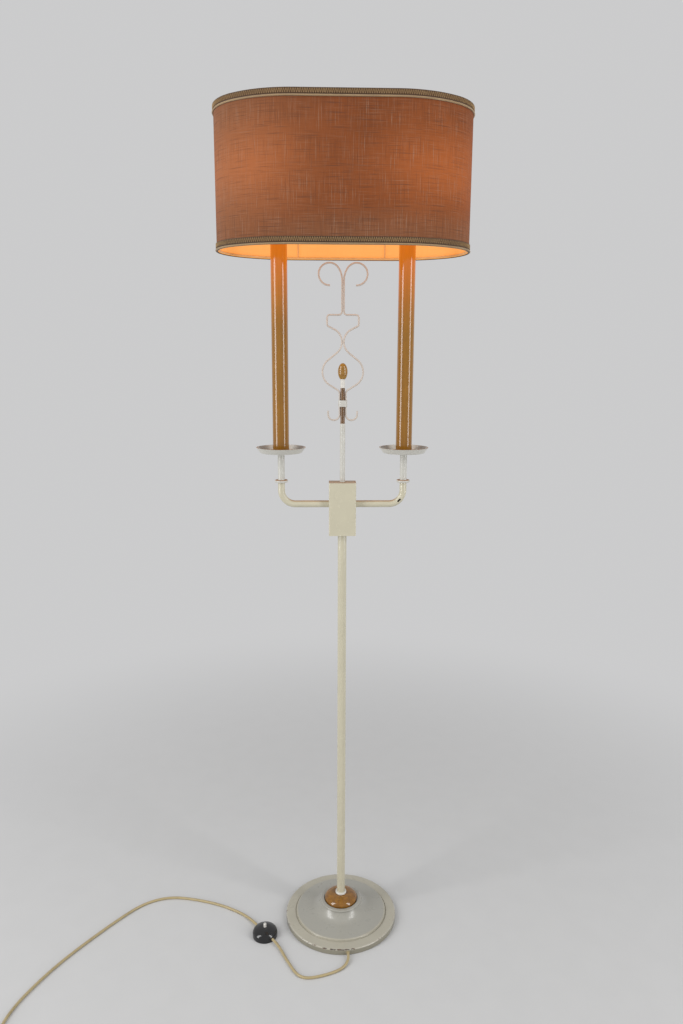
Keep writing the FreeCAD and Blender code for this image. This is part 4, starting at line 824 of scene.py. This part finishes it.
@dataclass(frozen=True)
class OvalOutline:
    """Outline of the shade: straight sides and rounded ends of three arcs."""

    length: float = 0.4316
    width: float = 0.2092
    end_length: float = 0.135
    end_radius: float = 0.090

    @property
    def _wide(self) -> float:
        """Radius of the arc between the straight side and the tight end."""
        half, offset = self.width / 2, self.end_length - self.end_radius
        return (half ** 2 + offset ** 2 - self.end_radius ** 2) / (2 * (half - self.end_radius))

    @property
    def _lean(self) -> float:
        """Angle above the X axis at which the tight arc meets the wide one."""
        return math.atan2(self._wide - self.width / 2, self.end_length - self.end_radius)

    def _spans(self, grow: float) -> tuple[float, float, float]:
        """Lengths of a quarter's half side, wide arc and half tight arc."""
        return (self.length / 2 - self.end_length, (self._wide + grow) * (math.pi / 2 - self._lean),
                (self.end_radius + grow) * self._lean)

    def perimeter(self, grow: float = 0.0) -> float:
        """Return the way round the outline, moved outwards by grow."""
        return 4 * sum(self._spans(grow))

    def at(self, share: float, grow: float = 0.0) -> Vector:
        """Find a point of the outline.

        Args:
            share: Way round from the middle of the back, 0 to 1, turning left to right.
            grow: How far outside the outline.

        Returns:
            The point, at height 0.
        """
        side, wide_span, tight_span = self._spans(grow)
        quarter = side + wide_span + tight_span
        along = (share % 1.0) * 4 * quarter
        index = min(int(along / quarter), 3)
        left = along - index * quarter
        if index % 2:
            left = quarter - left
        if left <= side:
            point = Vector((left, self.width / 2 + grow, 0))
        else:
            if left <= side + wide_span:
                radius, centre = self._wide, Vector((side, self.width / 2 - self._wide, 0))
                angle = math.pi / 2 - (left - side) / (radius + grow)
            else:
                radius, centre = self.end_radius, Vector((self.length / 2 - self.end_radius, 0, 0))
                angle = self._lean - (left - side - wide_span) / (radius + grow)
            point = centre + Vector((math.cos(angle), math.sin(angle), 0)) * (radius + grow)
        return point * Vector((1 if index in (0, 1) else -1, 1 if index in (0, 3) else -1, 1))

    def wall(self, bm: BMesh, rings: Sequence[tuple[float, float]], around: int) -> dict[BMVert, float]:
        """Make a wall round the outline.

        Args:
            bm: Empty mesh to make it in.
            rings: How far outside the outline and how high each ring of the wall is.
            around: Faces round the wall.

        Returns:
            Way round the outline of each vertex, 0 to 1.
        """
        loop = bmesh.ops.create_circle(bm, cap_ends=False, radius=1.0, segments=around)["verts"]
        edges = list(bm.edges)
        shares = {}
        for number, (grow, height) in enumerate(rings):
            if number:
                made = bmesh.ops.extrude_edge_only(bm, edges=edges)["geom"]
                fresh = {item for item in made if isinstance(item, BMVert)}
                loop = [next(edge.other_vert(vert) for edge in vert.link_edges
                             if edge.other_vert(vert) in fresh) for vert in loop]
                edges = [item for item in made if isinstance(item, BMEdge) and set(item.verts) <= fresh]
            for index, vert in enumerate(loop):
                shares[vert] = index / around
                point = self.at(shares[vert], grow)
                vert.co = (point.x, point.y, height)
        return shares


class BraidSlot(int, Enum):
    """Material slots of a braid."""

    GIMP = 0
    TAPE = 1
    LIP = 2


@dataclass
class GimpBraid:
    """Gimp of close ribs between a thin cord above and a round cord below, on a folded tape."""

    outline: OvalOutline
    edge: float
    way: int
    height: float = 0.0125
    tape: float = 0.0008
    tape_clear: float = 0.00005
    fold_depth: float = 0.0016
    fold: float = 0.001
    periods: int = 300
    swing: float = 0.0034
    rib_radius: float = 0.00048
    rib_stand: float = 0.0004
    rib_drop: float = 0.0010
    cord_radius: float = 0.00055
    cord_stand: float = 0.0003
    cord_drop: float = 0.0007
    bead_swell: float = 0.2
    lip_radius: float = 0.00150
    lip_stand: float = 0.0002
    around: int = 288

    def _tape(self, bm: BMesh) -> None:
        """Add the woven tape, folded over the edge of the shade.

        Args:
            bm: Mesh to add to.
        """
        far = self.edge + self.way * self.height
        near = self.edge + self.way * self.fold
        section = [(self.tape, far), (self.tape, self.edge), (-self.fold_depth, self.edge),
                   (-self.fold_depth, near), (self.tape_clear, near), (self.tape_clear, far),
                   (self.tape, far)]
        self.outline.wall(bm, section, self.around)
        bmesh.ops.remove_doubles(bm, verts=bm.verts, dist=MERGE)
        for face in bm.faces:
            face.material_index = BraidSlot.TAPE

    def _strand(self, bm: BMesh, radius: float, steps: int, slot: BraidSlot,
                place: Callable[[float], tuple[float, float, float]]) -> None:
        """Add one closed strand.

        Args:
            bm: Mesh to add to.
            radius: Radius of the strand.
            steps: Points round the shade.
            slot: Material slot of the strand.
            place: Gives the distance outside the outline, the height and the relative
                thickness at a share of the way round.
        """
        curve = bpy.data.curves.new("strand", "CURVE")
        curve.dimensions = "3D"
        curve.bevel_depth = radius
        curve.bevel_resolution = 1
        spline = curve.splines.new("POLY")
        spline.points.add(steps - 1)
        spline.use_cyclic_u = True
        for index, point in enumerate(spline.points):
            grow, height, point.radius = place(index / steps)
            spot = self.outline.at(index / steps, grow)
            point.co = (spot.x, spot.y, height, 1.0)
        helper = link("strand", curve)
        bpy.context.view_layer.update()
        depsgraph = bpy.context.evaluated_depsgraph_get()
        mesh = bpy.data.meshes.new_from_object(helper.evaluated_get(depsgraph))
        for polygon in mesh.polygons:
            polygon.material_index = slot
        bm.from_mesh(mesh)
        bpy.data.objects.remove(helper)
        bpy.data.curves.remove(curve)
        bpy.data.meshes.remove(mesh)

    def build(self, name: str) -> Object:
        """Make the braid.

        Args:
            name: Name of the piece.

        Returns:
            The braid.
        """
        bm = bmesh.new()
        self._tape(bm)
        low = min(self.edge, self.edge + self.way * self.height)
        high = low + self.height

        def rib(share: float) -> tuple[float, float, float]:
            """Place the winding strand whose legs are the ribs."""
            wave = self.swing * math.sin(math.tau * self.periods * share)
            return self.tape + self.rib_stand, high - self.rib_drop - self.swing + wave, 1.0

        def cord(share: float) -> tuple[float, float, float]:
            """Place the beaded cord along the upper edge."""
            knot = 1.0 + self.bead_swell * (math.cos(math.tau * self.periods * 2 * share) - 1.0)
            return self.tape + self.cord_stand, high - self.cord_drop, knot

        def lip(share: float) -> tuple[float, float, float]:
            """Place the round cord along the lower edge."""
            return self.tape + self.lip_stand, low + self.lip_radius, 1.0

        self._strand(bm, self.rib_radius, self.periods * 8, BraidSlot.GIMP, rib)
        # the upper cord takes the tape's near-black painted shade
        self._strand(bm, self.cord_radius, self.periods * 4, BraidSlot.TAPE, cord)
        self._strand(bm, self.lip_radius, self.around, BraidSlot.LIP, lip)
        bmesh.ops.recalc_face_normals(bm, faces=bm.faces)
        return piece_of(name, bm)


@dataclass
class OvalShade(Assembly):
    """Cloth cover, lining, lapped seam and gimp braids of the oval shade."""

    outline: OvalOutline = field(default_factory=OvalOutline)
    bottom: float = 1.295
    height: float = 0.229
    cover_thick: float = 0.0009
    liner_thick: float = 0.0006
    liner_inset: float = 0.00095
    edge_fold: float = 0.00105
    around: int = 288
    rows: int = 24
    seam_end: float = 0.005
    seam_place: float = 0.012
    seam_cloth_place: float = 0.37
    seam_edge_round: float = 0.00015
    lap: float = 0.011
    lap_thick: float = 0.00045
    pucker: float = 0.00025

    looks = {
        # painted light: the wires are coloured orange as if lit by the bulbs
        Moulded("Frame Wire", color=(0.86, 0.52, 0.22), roughness=0.4):
            ("shade_ribs", "shade_carrier", "shade_ring_bottom", "shade_ring_top"),
    }

    def _wall(self, name: str, outside: float, thick: float) -> Object:
        """Make one closed cloth wall, measured in metres along the cloth.

        Args:
            name: Name of the piece.
            outside: How far its outer face stands outside the outline.
            thick: Thickness of the cloth.

        Returns:
            The cloth wall.
        """
        low = self.bottom + self.edge_fold
        step = (self.height - 2 * self.edge_fold) / self.rows
        rings = [(outside, low + step * row) for row in range(self.rows + 1)]
        bm = bmesh.new()
        shares = self.outline.wall(bm, rings, self.around)
        bmesh.ops.recalc_face_normals(bm, faces=bm.faces)
        first = next(iter(bm.faces))
        if first.normal.dot(first.calc_center_median() * Vector((1, 1, 0))) < 0:
            bmesh.ops.reverse_faces(bm, faces=bm.faces)
        layer = bm.loops.layers.uv.new("Cloth")
        total = self.outline.perimeter(outside)
        for face in bm.faces:
            around = [shares[loop.vert] for loop in face.loops]
            if max(around) - min(around) > 0.5:
                around = [share or 1.0 for share in around]
            for loop, share in zip(face.loops, around):
                loop[layer].uv = (share * total, loop.vert.co.z - low)
        piece = piece_of(name, bm)
        wall = piece.modifiers.new("Cloth Thickness", "SOLIDIFY")
        wall.thickness = thick
        wall.offset = -1.0
        wall.use_even_offset = True
        return piece

    def _seam(self) -> Object:
        """Make the turned edge of the cloth where its ends lap over each other at the back.

        Returns:
            The seam.
        """
        low = self.bottom + self.seam_end
        high = self.bottom + self.height - self.seam_end
        back = self.outline.width / 2
        bm = bmesh.new()
        bmesh.ops.create_grid(bm, x_segments=6, y_segments=40, size=0.5)
        bmesh.ops.scale(bm, verts=bm.verts, vec=(self.lap, high - low, 1))
        upright = Matrix.Rotation(math.pi / 2, 3, "X")
        bmesh.ops.rotate(bm, verts=bm.verts, cent=(0, 0, 0), matrix=upright)
        bmesh.ops.translate(bm, verts=bm.verts, vec=(self.seam_place, back, (low + high) / 2))
        bmesh.ops.recalc_face_normals(bm, faces=bm.faces)
        if next(iter(bm.faces)).normal.y < 0:
            bmesh.ops.reverse_faces(bm, faces=bm.faces)
        walls = bmesh.ops.extrude_face_region(bm, geom=bm.faces[:])["geom"]
        proud = [item for item in walls if isinstance(item, BMVert)]
        bmesh.ops.translate(bm, verts=proud, vec=(0, self.lap_thick, 0))
        bmesh.ops.recalc_face_normals(bm, faces=bm.faces)
        for vert in bm.verts:
            if vert.co.y > back + self.lap_thick / 2:
                vert.co.x += self.pucker * math.sin(vert.co.z * 260.0) * math.sin(vert.co.z * 47.0)
        layer = bm.loops.layers.uv.new("Cloth")
        for face in bm.faces:
            for loop in face.loops:
                place = loop.vert.co
                loop[layer].uv = (place.x + self.seam_cloth_place, place.z - self.bottom)
        piece = piece_of("ShadeSeam", bm)
        bevel = piece.modifiers.new("Rounded Edges", "BEVEL")
        bevel.width = self.seam_edge_round
        bevel.segments = 2
        bevel.limit_method = "ANGLE"
        bevel.angle_limit = math.radians(35.0)
        return piece

    def build(self) -> None:
        """Make the cloth walls, the seam and both braids, and dress the wire frame."""
        linen = LitCloth("Slub Linen")
        lining = LitCloth("Glowing Lining", color=(0.42, 0.24, 0.10), side_light_and_hem_tone=(0.42, 0.24, 0.10),
                          glow_color=(1.0, 0.42, 0.10), light=0.35, base_light=0.50, fall=1.2,
                          pitch=0.0004, slubs=0.10)
        # painted shade: the tape and the upper cord are near-black, standing in for the gaps between the
        # braid's ribs
        tape = Braid("Braid Tape", color=(0.026, 0.018, 0.009))
        lip = Braid("Braid Lip", color=(0.270, 0.195, 0.105))
        cover = clothe(self._wall("ShadeCover", 0.0, self.cover_thick), linen, Body.SHADE, "linen",
                       "shade_cover")
        liner = clothe(self._wall("ShadeLiner", -self.liner_inset, self.liner_thick), lining,
                       Body.SHADE, "liner_cloth", "shade_liner")
        seam = clothe(self._seam(), linen, Body.SHADE, "linen")
        for name, edge, way, node in (("BraidBottom", self.bottom, 1, "shade_trim_bottom"),
                                      ("BraidTop", self.bottom + self.height, -1, "shade_trim_top")):
            braid = clothe(GimpBraid(self.outline, edge, way).build(name), Braid("Gimp Braid"),
                           Body.SHADE, "braid", node)
            braid.data.materials.append(tape.material())
            braid.data.materials.append(lip.material())
        self.outline.perimeter() + self.lap
        self.outline.perimeter(-self.liner_inset)
        super().build()


# ------------------------------------------------------------------ cord


@dataclass
class FloorCord(Assembly):
    """Cord from the foot to the switch, and on to the coil and the plug.

    The routes and the coil's sizes are in millimetres.
    """

    diameter: float = 0.005
    floor: float = 2.6
    coil_middle: tuple[float, float] = (-547.95, -323.05)
    coil_radius: float = 38.05
    coil_pitch: float = 5.6
    coil_turns: float = 6.25
    points_per_turn: int = 16

    looks = {
        Moulded("Plug Plastic", color=(0.46, 0.39, 0.24), roughness=0.35): ("plug_body",),
        Metal("Plug Pins", color=(0.70, 0.68, 0.64), roughness=0.22): ("plug_pins",),
        Moulded("Grommet Rubber", color=(0.36, 0.32, 0.22), roughness=0.6): ("cord_grommet",),
    }

    def _to_switch(self) -> list[Point]:
        """Return the route from the foot to the switch."""
        low = self.floor
        return [
            (10.604, -111.396, 6.2), (11.552, -121.351, 6.2), (9.2, -131.6, 4.6), (3.5, -141.0, 3.0),
            (-6.3, -149.5, low), (-24.4, -158.0, low), (-46.0, -164.5, low), (-60.0, -167.0, low),
            (-71.5, -166.5, low), (-81.5, -161.5, low), (-89.5, -152.0, low), (-97.0, -139.0, low),
            (-108.0, -118.0, low), (-119.5, -94.0, 3.4), (-128.856, -80.390, 5.6),
            (-135.284, -72.730, 5.6)]

    def _to_coil(self) -> list[Point]:
        """Return the route from the switch to the coil."""
        low = self.floor
        return [
            (-166.716, -35.270, 5.6), (-173.144, -27.610, 5.6), (-184.5, -12.0, 3.4), (-207.0, 7.5, low),
            (-252.0, 32.0, low), (-308.0, 49.5, low), (-360.0, 57.0, low), (-409.0, 38.0, low),
            (-449.0, -6.0, low), (-490.0, -60.0, low), (-528.0, -114.5, low), (-558.0, -169.5, low),
            (-579.5, -222.0, low), (-586.0, -270.0, low), (-586.0, -310.0, low)]

    def _coil(self) -> list[Point]:
        """Wind the two-layer coil inwards, up and outwards again.

        Returns:
            Points of the coil, the last one in the plug.
        """
        reverse = (self.coil_turns - 0.5) / 2
        points = []
        for index in range(1, int(self.coil_turns * self.points_per_turn) + 1):
            turns = index / self.points_per_turn
            if turns <= reverse:
                inwards, rise = turns, 0.0
            elif turns >= reverse + 0.5:
                inwards, rise = self.coil_turns - turns, 1.0
            else:
                share = (turns - reverse) / 0.5
                inwards = reverse + 0.5 * share * (1 - share)
                rise = 3 * share ** 2 - 2 * share ** 3
            radius = self.coil_radius - self.coil_pitch * inwards
            angle = math.pi + math.tau * turns
            points.append((self.coil_middle[0] + radius * math.cos(angle),
                           self.coil_middle[1] + radius * math.sin(angle),
                           self.floor + self.coil_pitch * rise))
        x, y, z = points[-1]
        return points[:-1] + [(x - 2.0, y, z), (x + 5.0, y, z)]

    def _lay(self, name: str, route: Sequence[Point]) -> Object:
        """Lay one cord as a smooth spline.

        Args:
            name: Name of the piece.
            route: Points that steer the spline.

        Returns:
            The cord.
        """
        curve = bpy.data.curves.new(name, "CURVE")
        curve.dimensions = "3D"
        curve.resolution_u = 10
        curve.bevel_depth = self.diameter / 2
        curve.bevel_resolution = 5
        curve.use_fill_caps = True
        spline = curve.splines.new("NURBS")
        spline.points.add(len(route) - 1)
        for point, place in zip(spline.points, route):
            point.co = (*(value * MM for value in place), 1.0)
        spline.order_u = 3
        spline.use_endpoint_u = True
        return link(name, curve)

    def build(self) -> None:
        """Lay both cords and dress what is on them."""
        sheath = Moulded("Cord Sheath", color=(0.42, 0.335, 0.175), roughness=0.38, grain=0.00002,
                         grime_and_shade=(0.20, 0.15, 0.08), dust_amount=0.10)
        near_route, far_route = self._to_switch(), self._to_coil() + self._coil()
        near = clothe(self._lay("CordToSwitch", near_route), sheath, Body.LAMP, "cord_plastic",
                      "cord_to_switch")
        far = clothe(self._lay("CordToPlug", far_route), sheath, Body.LAMP, "cord_plastic",
                     "cord_to_coil", "cord_coil")
        super().build()


# ------------------------------------------------------------------ rigid parts


class FootSwitch(Assembly):
    """Round foot switch: dome, button and base plate."""

    looks = {
        Moulded("Switch Dome", color=(0.006, 0.006, 0.007), roughness=0.09, coat=0.2,
                grain=0.000002, grime_and_shade=(0.015, 0.015, 0.015), dust_amount=0.02): ("switch_dome",),
        Moulded("Switch Button", color=(0.66, 0.64, 0.60), roughness=0.22, coat=0.4):
            ("switch_button",),
        Moulded("Switch Base", color=(0.030, 0.029, 0.028), roughness=0.55): ("switch_base",),
    }


@dataclass
class WeightedFoot(Assembly):
    """Pressed foot with its cast weight, felt pad, bun and collar."""

    pad_radius: float = 0.1091
    pad_thick: float = 0.0025
    pad_edge: float = 0.0007
    pad_shrink: float = 0.0014
    ripple: float = 0.0012
    ripples: int = 37

    looks = {
        # painted shade: the foot's enamel is a darker copy of the cream enamel of the pole and arms
        ChippedEnamel("Foot Enamel", color=(0.405, 0.380, 0.305), gloss_roughness=0.26):
            ("foot_shell",),
        CastIron("Cast Weight"): ("foot_weight",),
        Amber("Amber Bun"): ("foot_bun",),
        Moulded("White Collar", color=(0.66, 0.65, 0.61), roughness=0.22, coat=0.4): ("pole_collar",),
    }

    def _felt_pad(self) -> Object:
        """Make the felt disc under the foot, with a soft rounded edge.

        Returns:
            The pad.
        """
        bm = bmesh.new()
        bmesh.ops.create_circle(bm, cap_ends=True, segments=160, radius=self.pad_radius)
        raised = bmesh.ops.extrude_face_region(bm, geom=bm.faces[:])["geom"]
        bmesh.ops.translate(bm, verts=[item for item in raised if isinstance(item, BMVert)],
                            vec=(0, 0, self.pad_thick))
        bmesh.ops.recalc_face_normals(bm, faces=bm.faces)
        rim = [edge for edge in bm.edges if edge.calc_face_angle(0.0) > 1.0]
        bmesh.ops.bevel(bm, geom=rim, offset=self.pad_edge, offset_type="OFFSET", segments=3,
                        profile=0.5, affect="EDGES", material=-1)
        for vert in bm.verts:
            wave = math.sin(self.ripples * math.atan2(vert.co.y, vert.co.x))
            vert.co.xy *= 1 + self.ripple * wave - self.pad_shrink
        return piece_of("FeltPad", bm)

    def build(self) -> None:
        """Dress the foot and lay the felt pad under it."""
        super().build()
        pad = clothe(self._felt_pad(), Felt("Green Felt"), Body.LAMP, "felt", "foot_pad")


class PoleAndArms(Assembly):
    """Pole, centre block, arms, drip dishes and the hardware that joins them."""

    looks = {
        Enamel("Cream Enamel", painted_glow=0.7, peel_height=0.00001):
            ("pole_tube", "block_body", "block_top_cap", "block_bottom_cap", "arm_left", "arm_right"),
        # painted light: a paler, whiter copy of the cream enamel on the thin risers, rings, dishes and
        # stem
        Enamel("Pale Enamel", color=(0.50, 0.490, 0.445), gloss_roughness=0.32, painted_glow=0.95,
               coat=0.15, dust_amount=0.0, peel_height=0.000004):
            ("arm_rings", "riser_left", "riser_right", "drip_dish_left", "drip_dish_right",
             "stem_tube"),
        Metal("Brass Thread", color=(0.62, 0.43, 0.19), roughness=0.35):
            ("foot_nipple", "block_nipple", "cup_nipples", "thread_nuts", "arm_locknuts"),
        Metal("Zinc Steel", color=(0.52, 0.53, 0.54), roughness=0.40):
            ("foot_washer", "pole_bushes", "stem_stud_and_nut", "candle_cups"),
        Moulded("Terminal Plastic", color=(0.70, 0.68, 0.60)): ("terminal_block",),
        # painted shade: the leads are near-black, standing in for the shade inside the arms' slots
        Moulded("Lead Sheath", color=(0.045, 0.040, 0.036)): ("lead_pole", "leads_arms"),
    }


class Candles(Assembly):
    """Amber candle tubes with their lamp holders, bulbs and shade seats."""

    looks = {
        CandleSleeve("Candle Sleeve"): ("candle_left", "candle_right"),
        Metal("Shade Rest Brass", color=(0.62, 0.47, 0.25), roughness=0.30): ("shade_seats",),
        Moulded("Holder Plastic", color=(0.62, 0.58, 0.48), roughness=0.4):
            ("lamp_holder_left", "lamp_holder_right"),
        Metal("Nickel", color=(0.66, 0.64, 0.60), roughness=0.24): ("screw_shells", "bulb_caps"),
        LitGlass("Lit Frosted Glass"): ("bulb_left", "bulb_right"),
    }


class Scroll(Assembly):
    """Rod, bead, bent wires and their clasp."""

    looks = {
        Enamel("Scroll Enamel", color=(0.49, 0.43, 0.375), gloss_roughness=0.45, dust_amount=0.0,
               coat=0.0, peel_height=0.0): ("scroll_wire_left", "scroll_wire_right"),
        # painted light: the clasp takes the same paler copy of the cream enamel
        Enamel("Pale Clasp", color=(0.50, 0.49, 0.45), dust_amount=0.0, coat=0.15): ("clasp_band",),
        SleevedRod("Sleeved Rod"): ("stem_rod",),
        Amber("Amber Bead", deep=(0.230, 0.110, 0.010), bright=(0.310, 0.160, 0.020),
              marbling=150.0): ("bead",),
    }


# ------------------------------------------------------------------ studio


@dataclass(frozen=True)
class SoftBox:
    """Soft box that points at the middle of the lamp.

    Its azimuth is in degrees to the right of the camera's side, its elevation in degrees above
    the middle of the lamp, its lengths in metres and its power in watts.
    """

    name: str
    azimuth: float
    width: float
    power: float
    height: float = 3.1
    elevation: float = 18.0
    distance: float = 2.4
    aim: Point = (0.0, 0.0, 0.8)

    def hang(self) -> None:
        """Add the light to the scene."""
        data = bpy.data.lights.new(self.name, "AREA")
        data.shape = "RECTANGLE"
        data.size, data.size_y = self.width, self.height
        data.energy = self.power
        turn, rise = math.radians(self.azimuth), math.radians(self.elevation)
        way = Vector((math.sin(turn) * math.cos(rise), -math.cos(turn) * math.cos(rise), math.sin(rise)))
        light = link(self.name, data)
        light.location = Vector(self.aim) + way * self.distance
        light.rotation_euler = way.to_track_quat("Z", "Y").to_euler()


@dataclass
class Studio:
    """Pale floor, two soft boxes and the photograph's camera."""

    lens: float = 27.158
    camera_place: Point = (-0.0416, -1.3902, 1.1190)
    look_down: float = 0.19744
    look_right: float = 0.02891
    roll: float = 0.00349
    floor_radius: float = 12.0
    floor_color: Color = (0.60, 0.60, 0.60)
    sky_color: Color = (0.60, 0.60, 0.605)
    fade_from: float = 0.35
    fade_to: float = 1.7
    ambient: float = 0.42
    boxes: tuple[SoftBox, ...] = (SoftBox("LeftBox", -62.0, 0.82, 52.0),
                                  SoftBox("RightBox", 57.0, 0.60, 40.0))

    def _camera(self) -> None:
        """Place the camera where the photograph was taken."""
        data = bpy.data.cameras.new("PhotoCamera")
        data.lens = self.lens
        data.clip_start = 0.01
        camera = link("PhotoCamera", data)
        turn = (Matrix.Rotation(-self.look_right, 4, "Z")
                @ Matrix.Rotation(math.pi / 2 - self.look_down, 4, "X")
                @ Matrix.Rotation(self.roll, 4, "Z"))
        camera.matrix_world = Matrix.Translation(self.camera_place) @ turn
        bpy.context.scene.camera = camera

    def _floor(self) -> None:
        """Lay a wide floor that fades into the background far from the lamp."""
        bm = bmesh.new()
        bmesh.ops.create_circle(bm, cap_ends=True, segments=96, radius=self.floor_radius)
        floor = piece_of("StudioFloor", bm)
        material = bpy.data.materials.new("Studio Floor")
        material.use_nodes = True
        graph = Surface(material.node_tree)
        grain = graph.ramp(graph.noise(graph.spot, 18.0, 3.0), 0.3, 0.7)
        away = graph.add("VectorMath", {0: graph.spot}, operation="LENGTH").outputs["Value"]
        paper = graph.add("BsdfPrincipled", {
            "Base Color": graph.toned(grain, self.floor_color, 1.0, 0.985), "Roughness": 0.85,
            "Specular IOR Level": 0.2})
        far = graph.add("Emission", {"Color": self.sky_color})
        blend = graph.add("MixShader", {0: graph.ramp(away, self.fade_from, self.fade_to),
                                        1: paper.outputs[0], 2: far.outputs[0]})
        graph.add("OutputMaterial", {"Surface": blend.outputs[0]})
        floor.data.materials.append(material)

    def _background(self) -> None:
        """Light the scene evenly, and show a pale background to the camera and in reflections."""
        world = bpy.data.worlds.new("Studio")
        world.use_nodes = True
        bpy.context.scene.world = world
        graph = Graph(world.node_tree)
        rays = graph.add("LightPath").outputs
        shown = graph.larger(rays["Is Camera Ray"],
                             graph.larger(rays["Is Glossy Ray"], rays["Is Transmission Ray"]))
        soft = graph.add("Background", {"Color": (1.0, 1.0, 1.0), "Strength": self.ambient})
        seen = graph.add("Background", {"Color": self.sky_color})
        blend = graph.add("MixShader", {0: shown, 1: soft.outputs[0], 2: seen.outputs[0]})
        graph.add("OutputWorld", {"Surface": blend.outputs[0]})

    def build(self) -> None:
        """Set up the whole studio."""
        bpy.context.scene.view_settings.view_transform = "Standard"
        self._camera()
        self._floor()
        self._background()
        for box in self.boxes:
            box.hang()
        log.info("studio set up")


def main() -> None:
    """Build the lamp piece by piece, then the studio round it."""
    logging.basicConfig(level=logging.INFO, format="%(name)s: %(message)s")
    for part in (FloorCord, FootSwitch, WeightedFoot, PoleAndArms, Candles, Scroll, OvalShade):
        part().build()
    Studio().build()


if __name__ == "__main__":
    main()
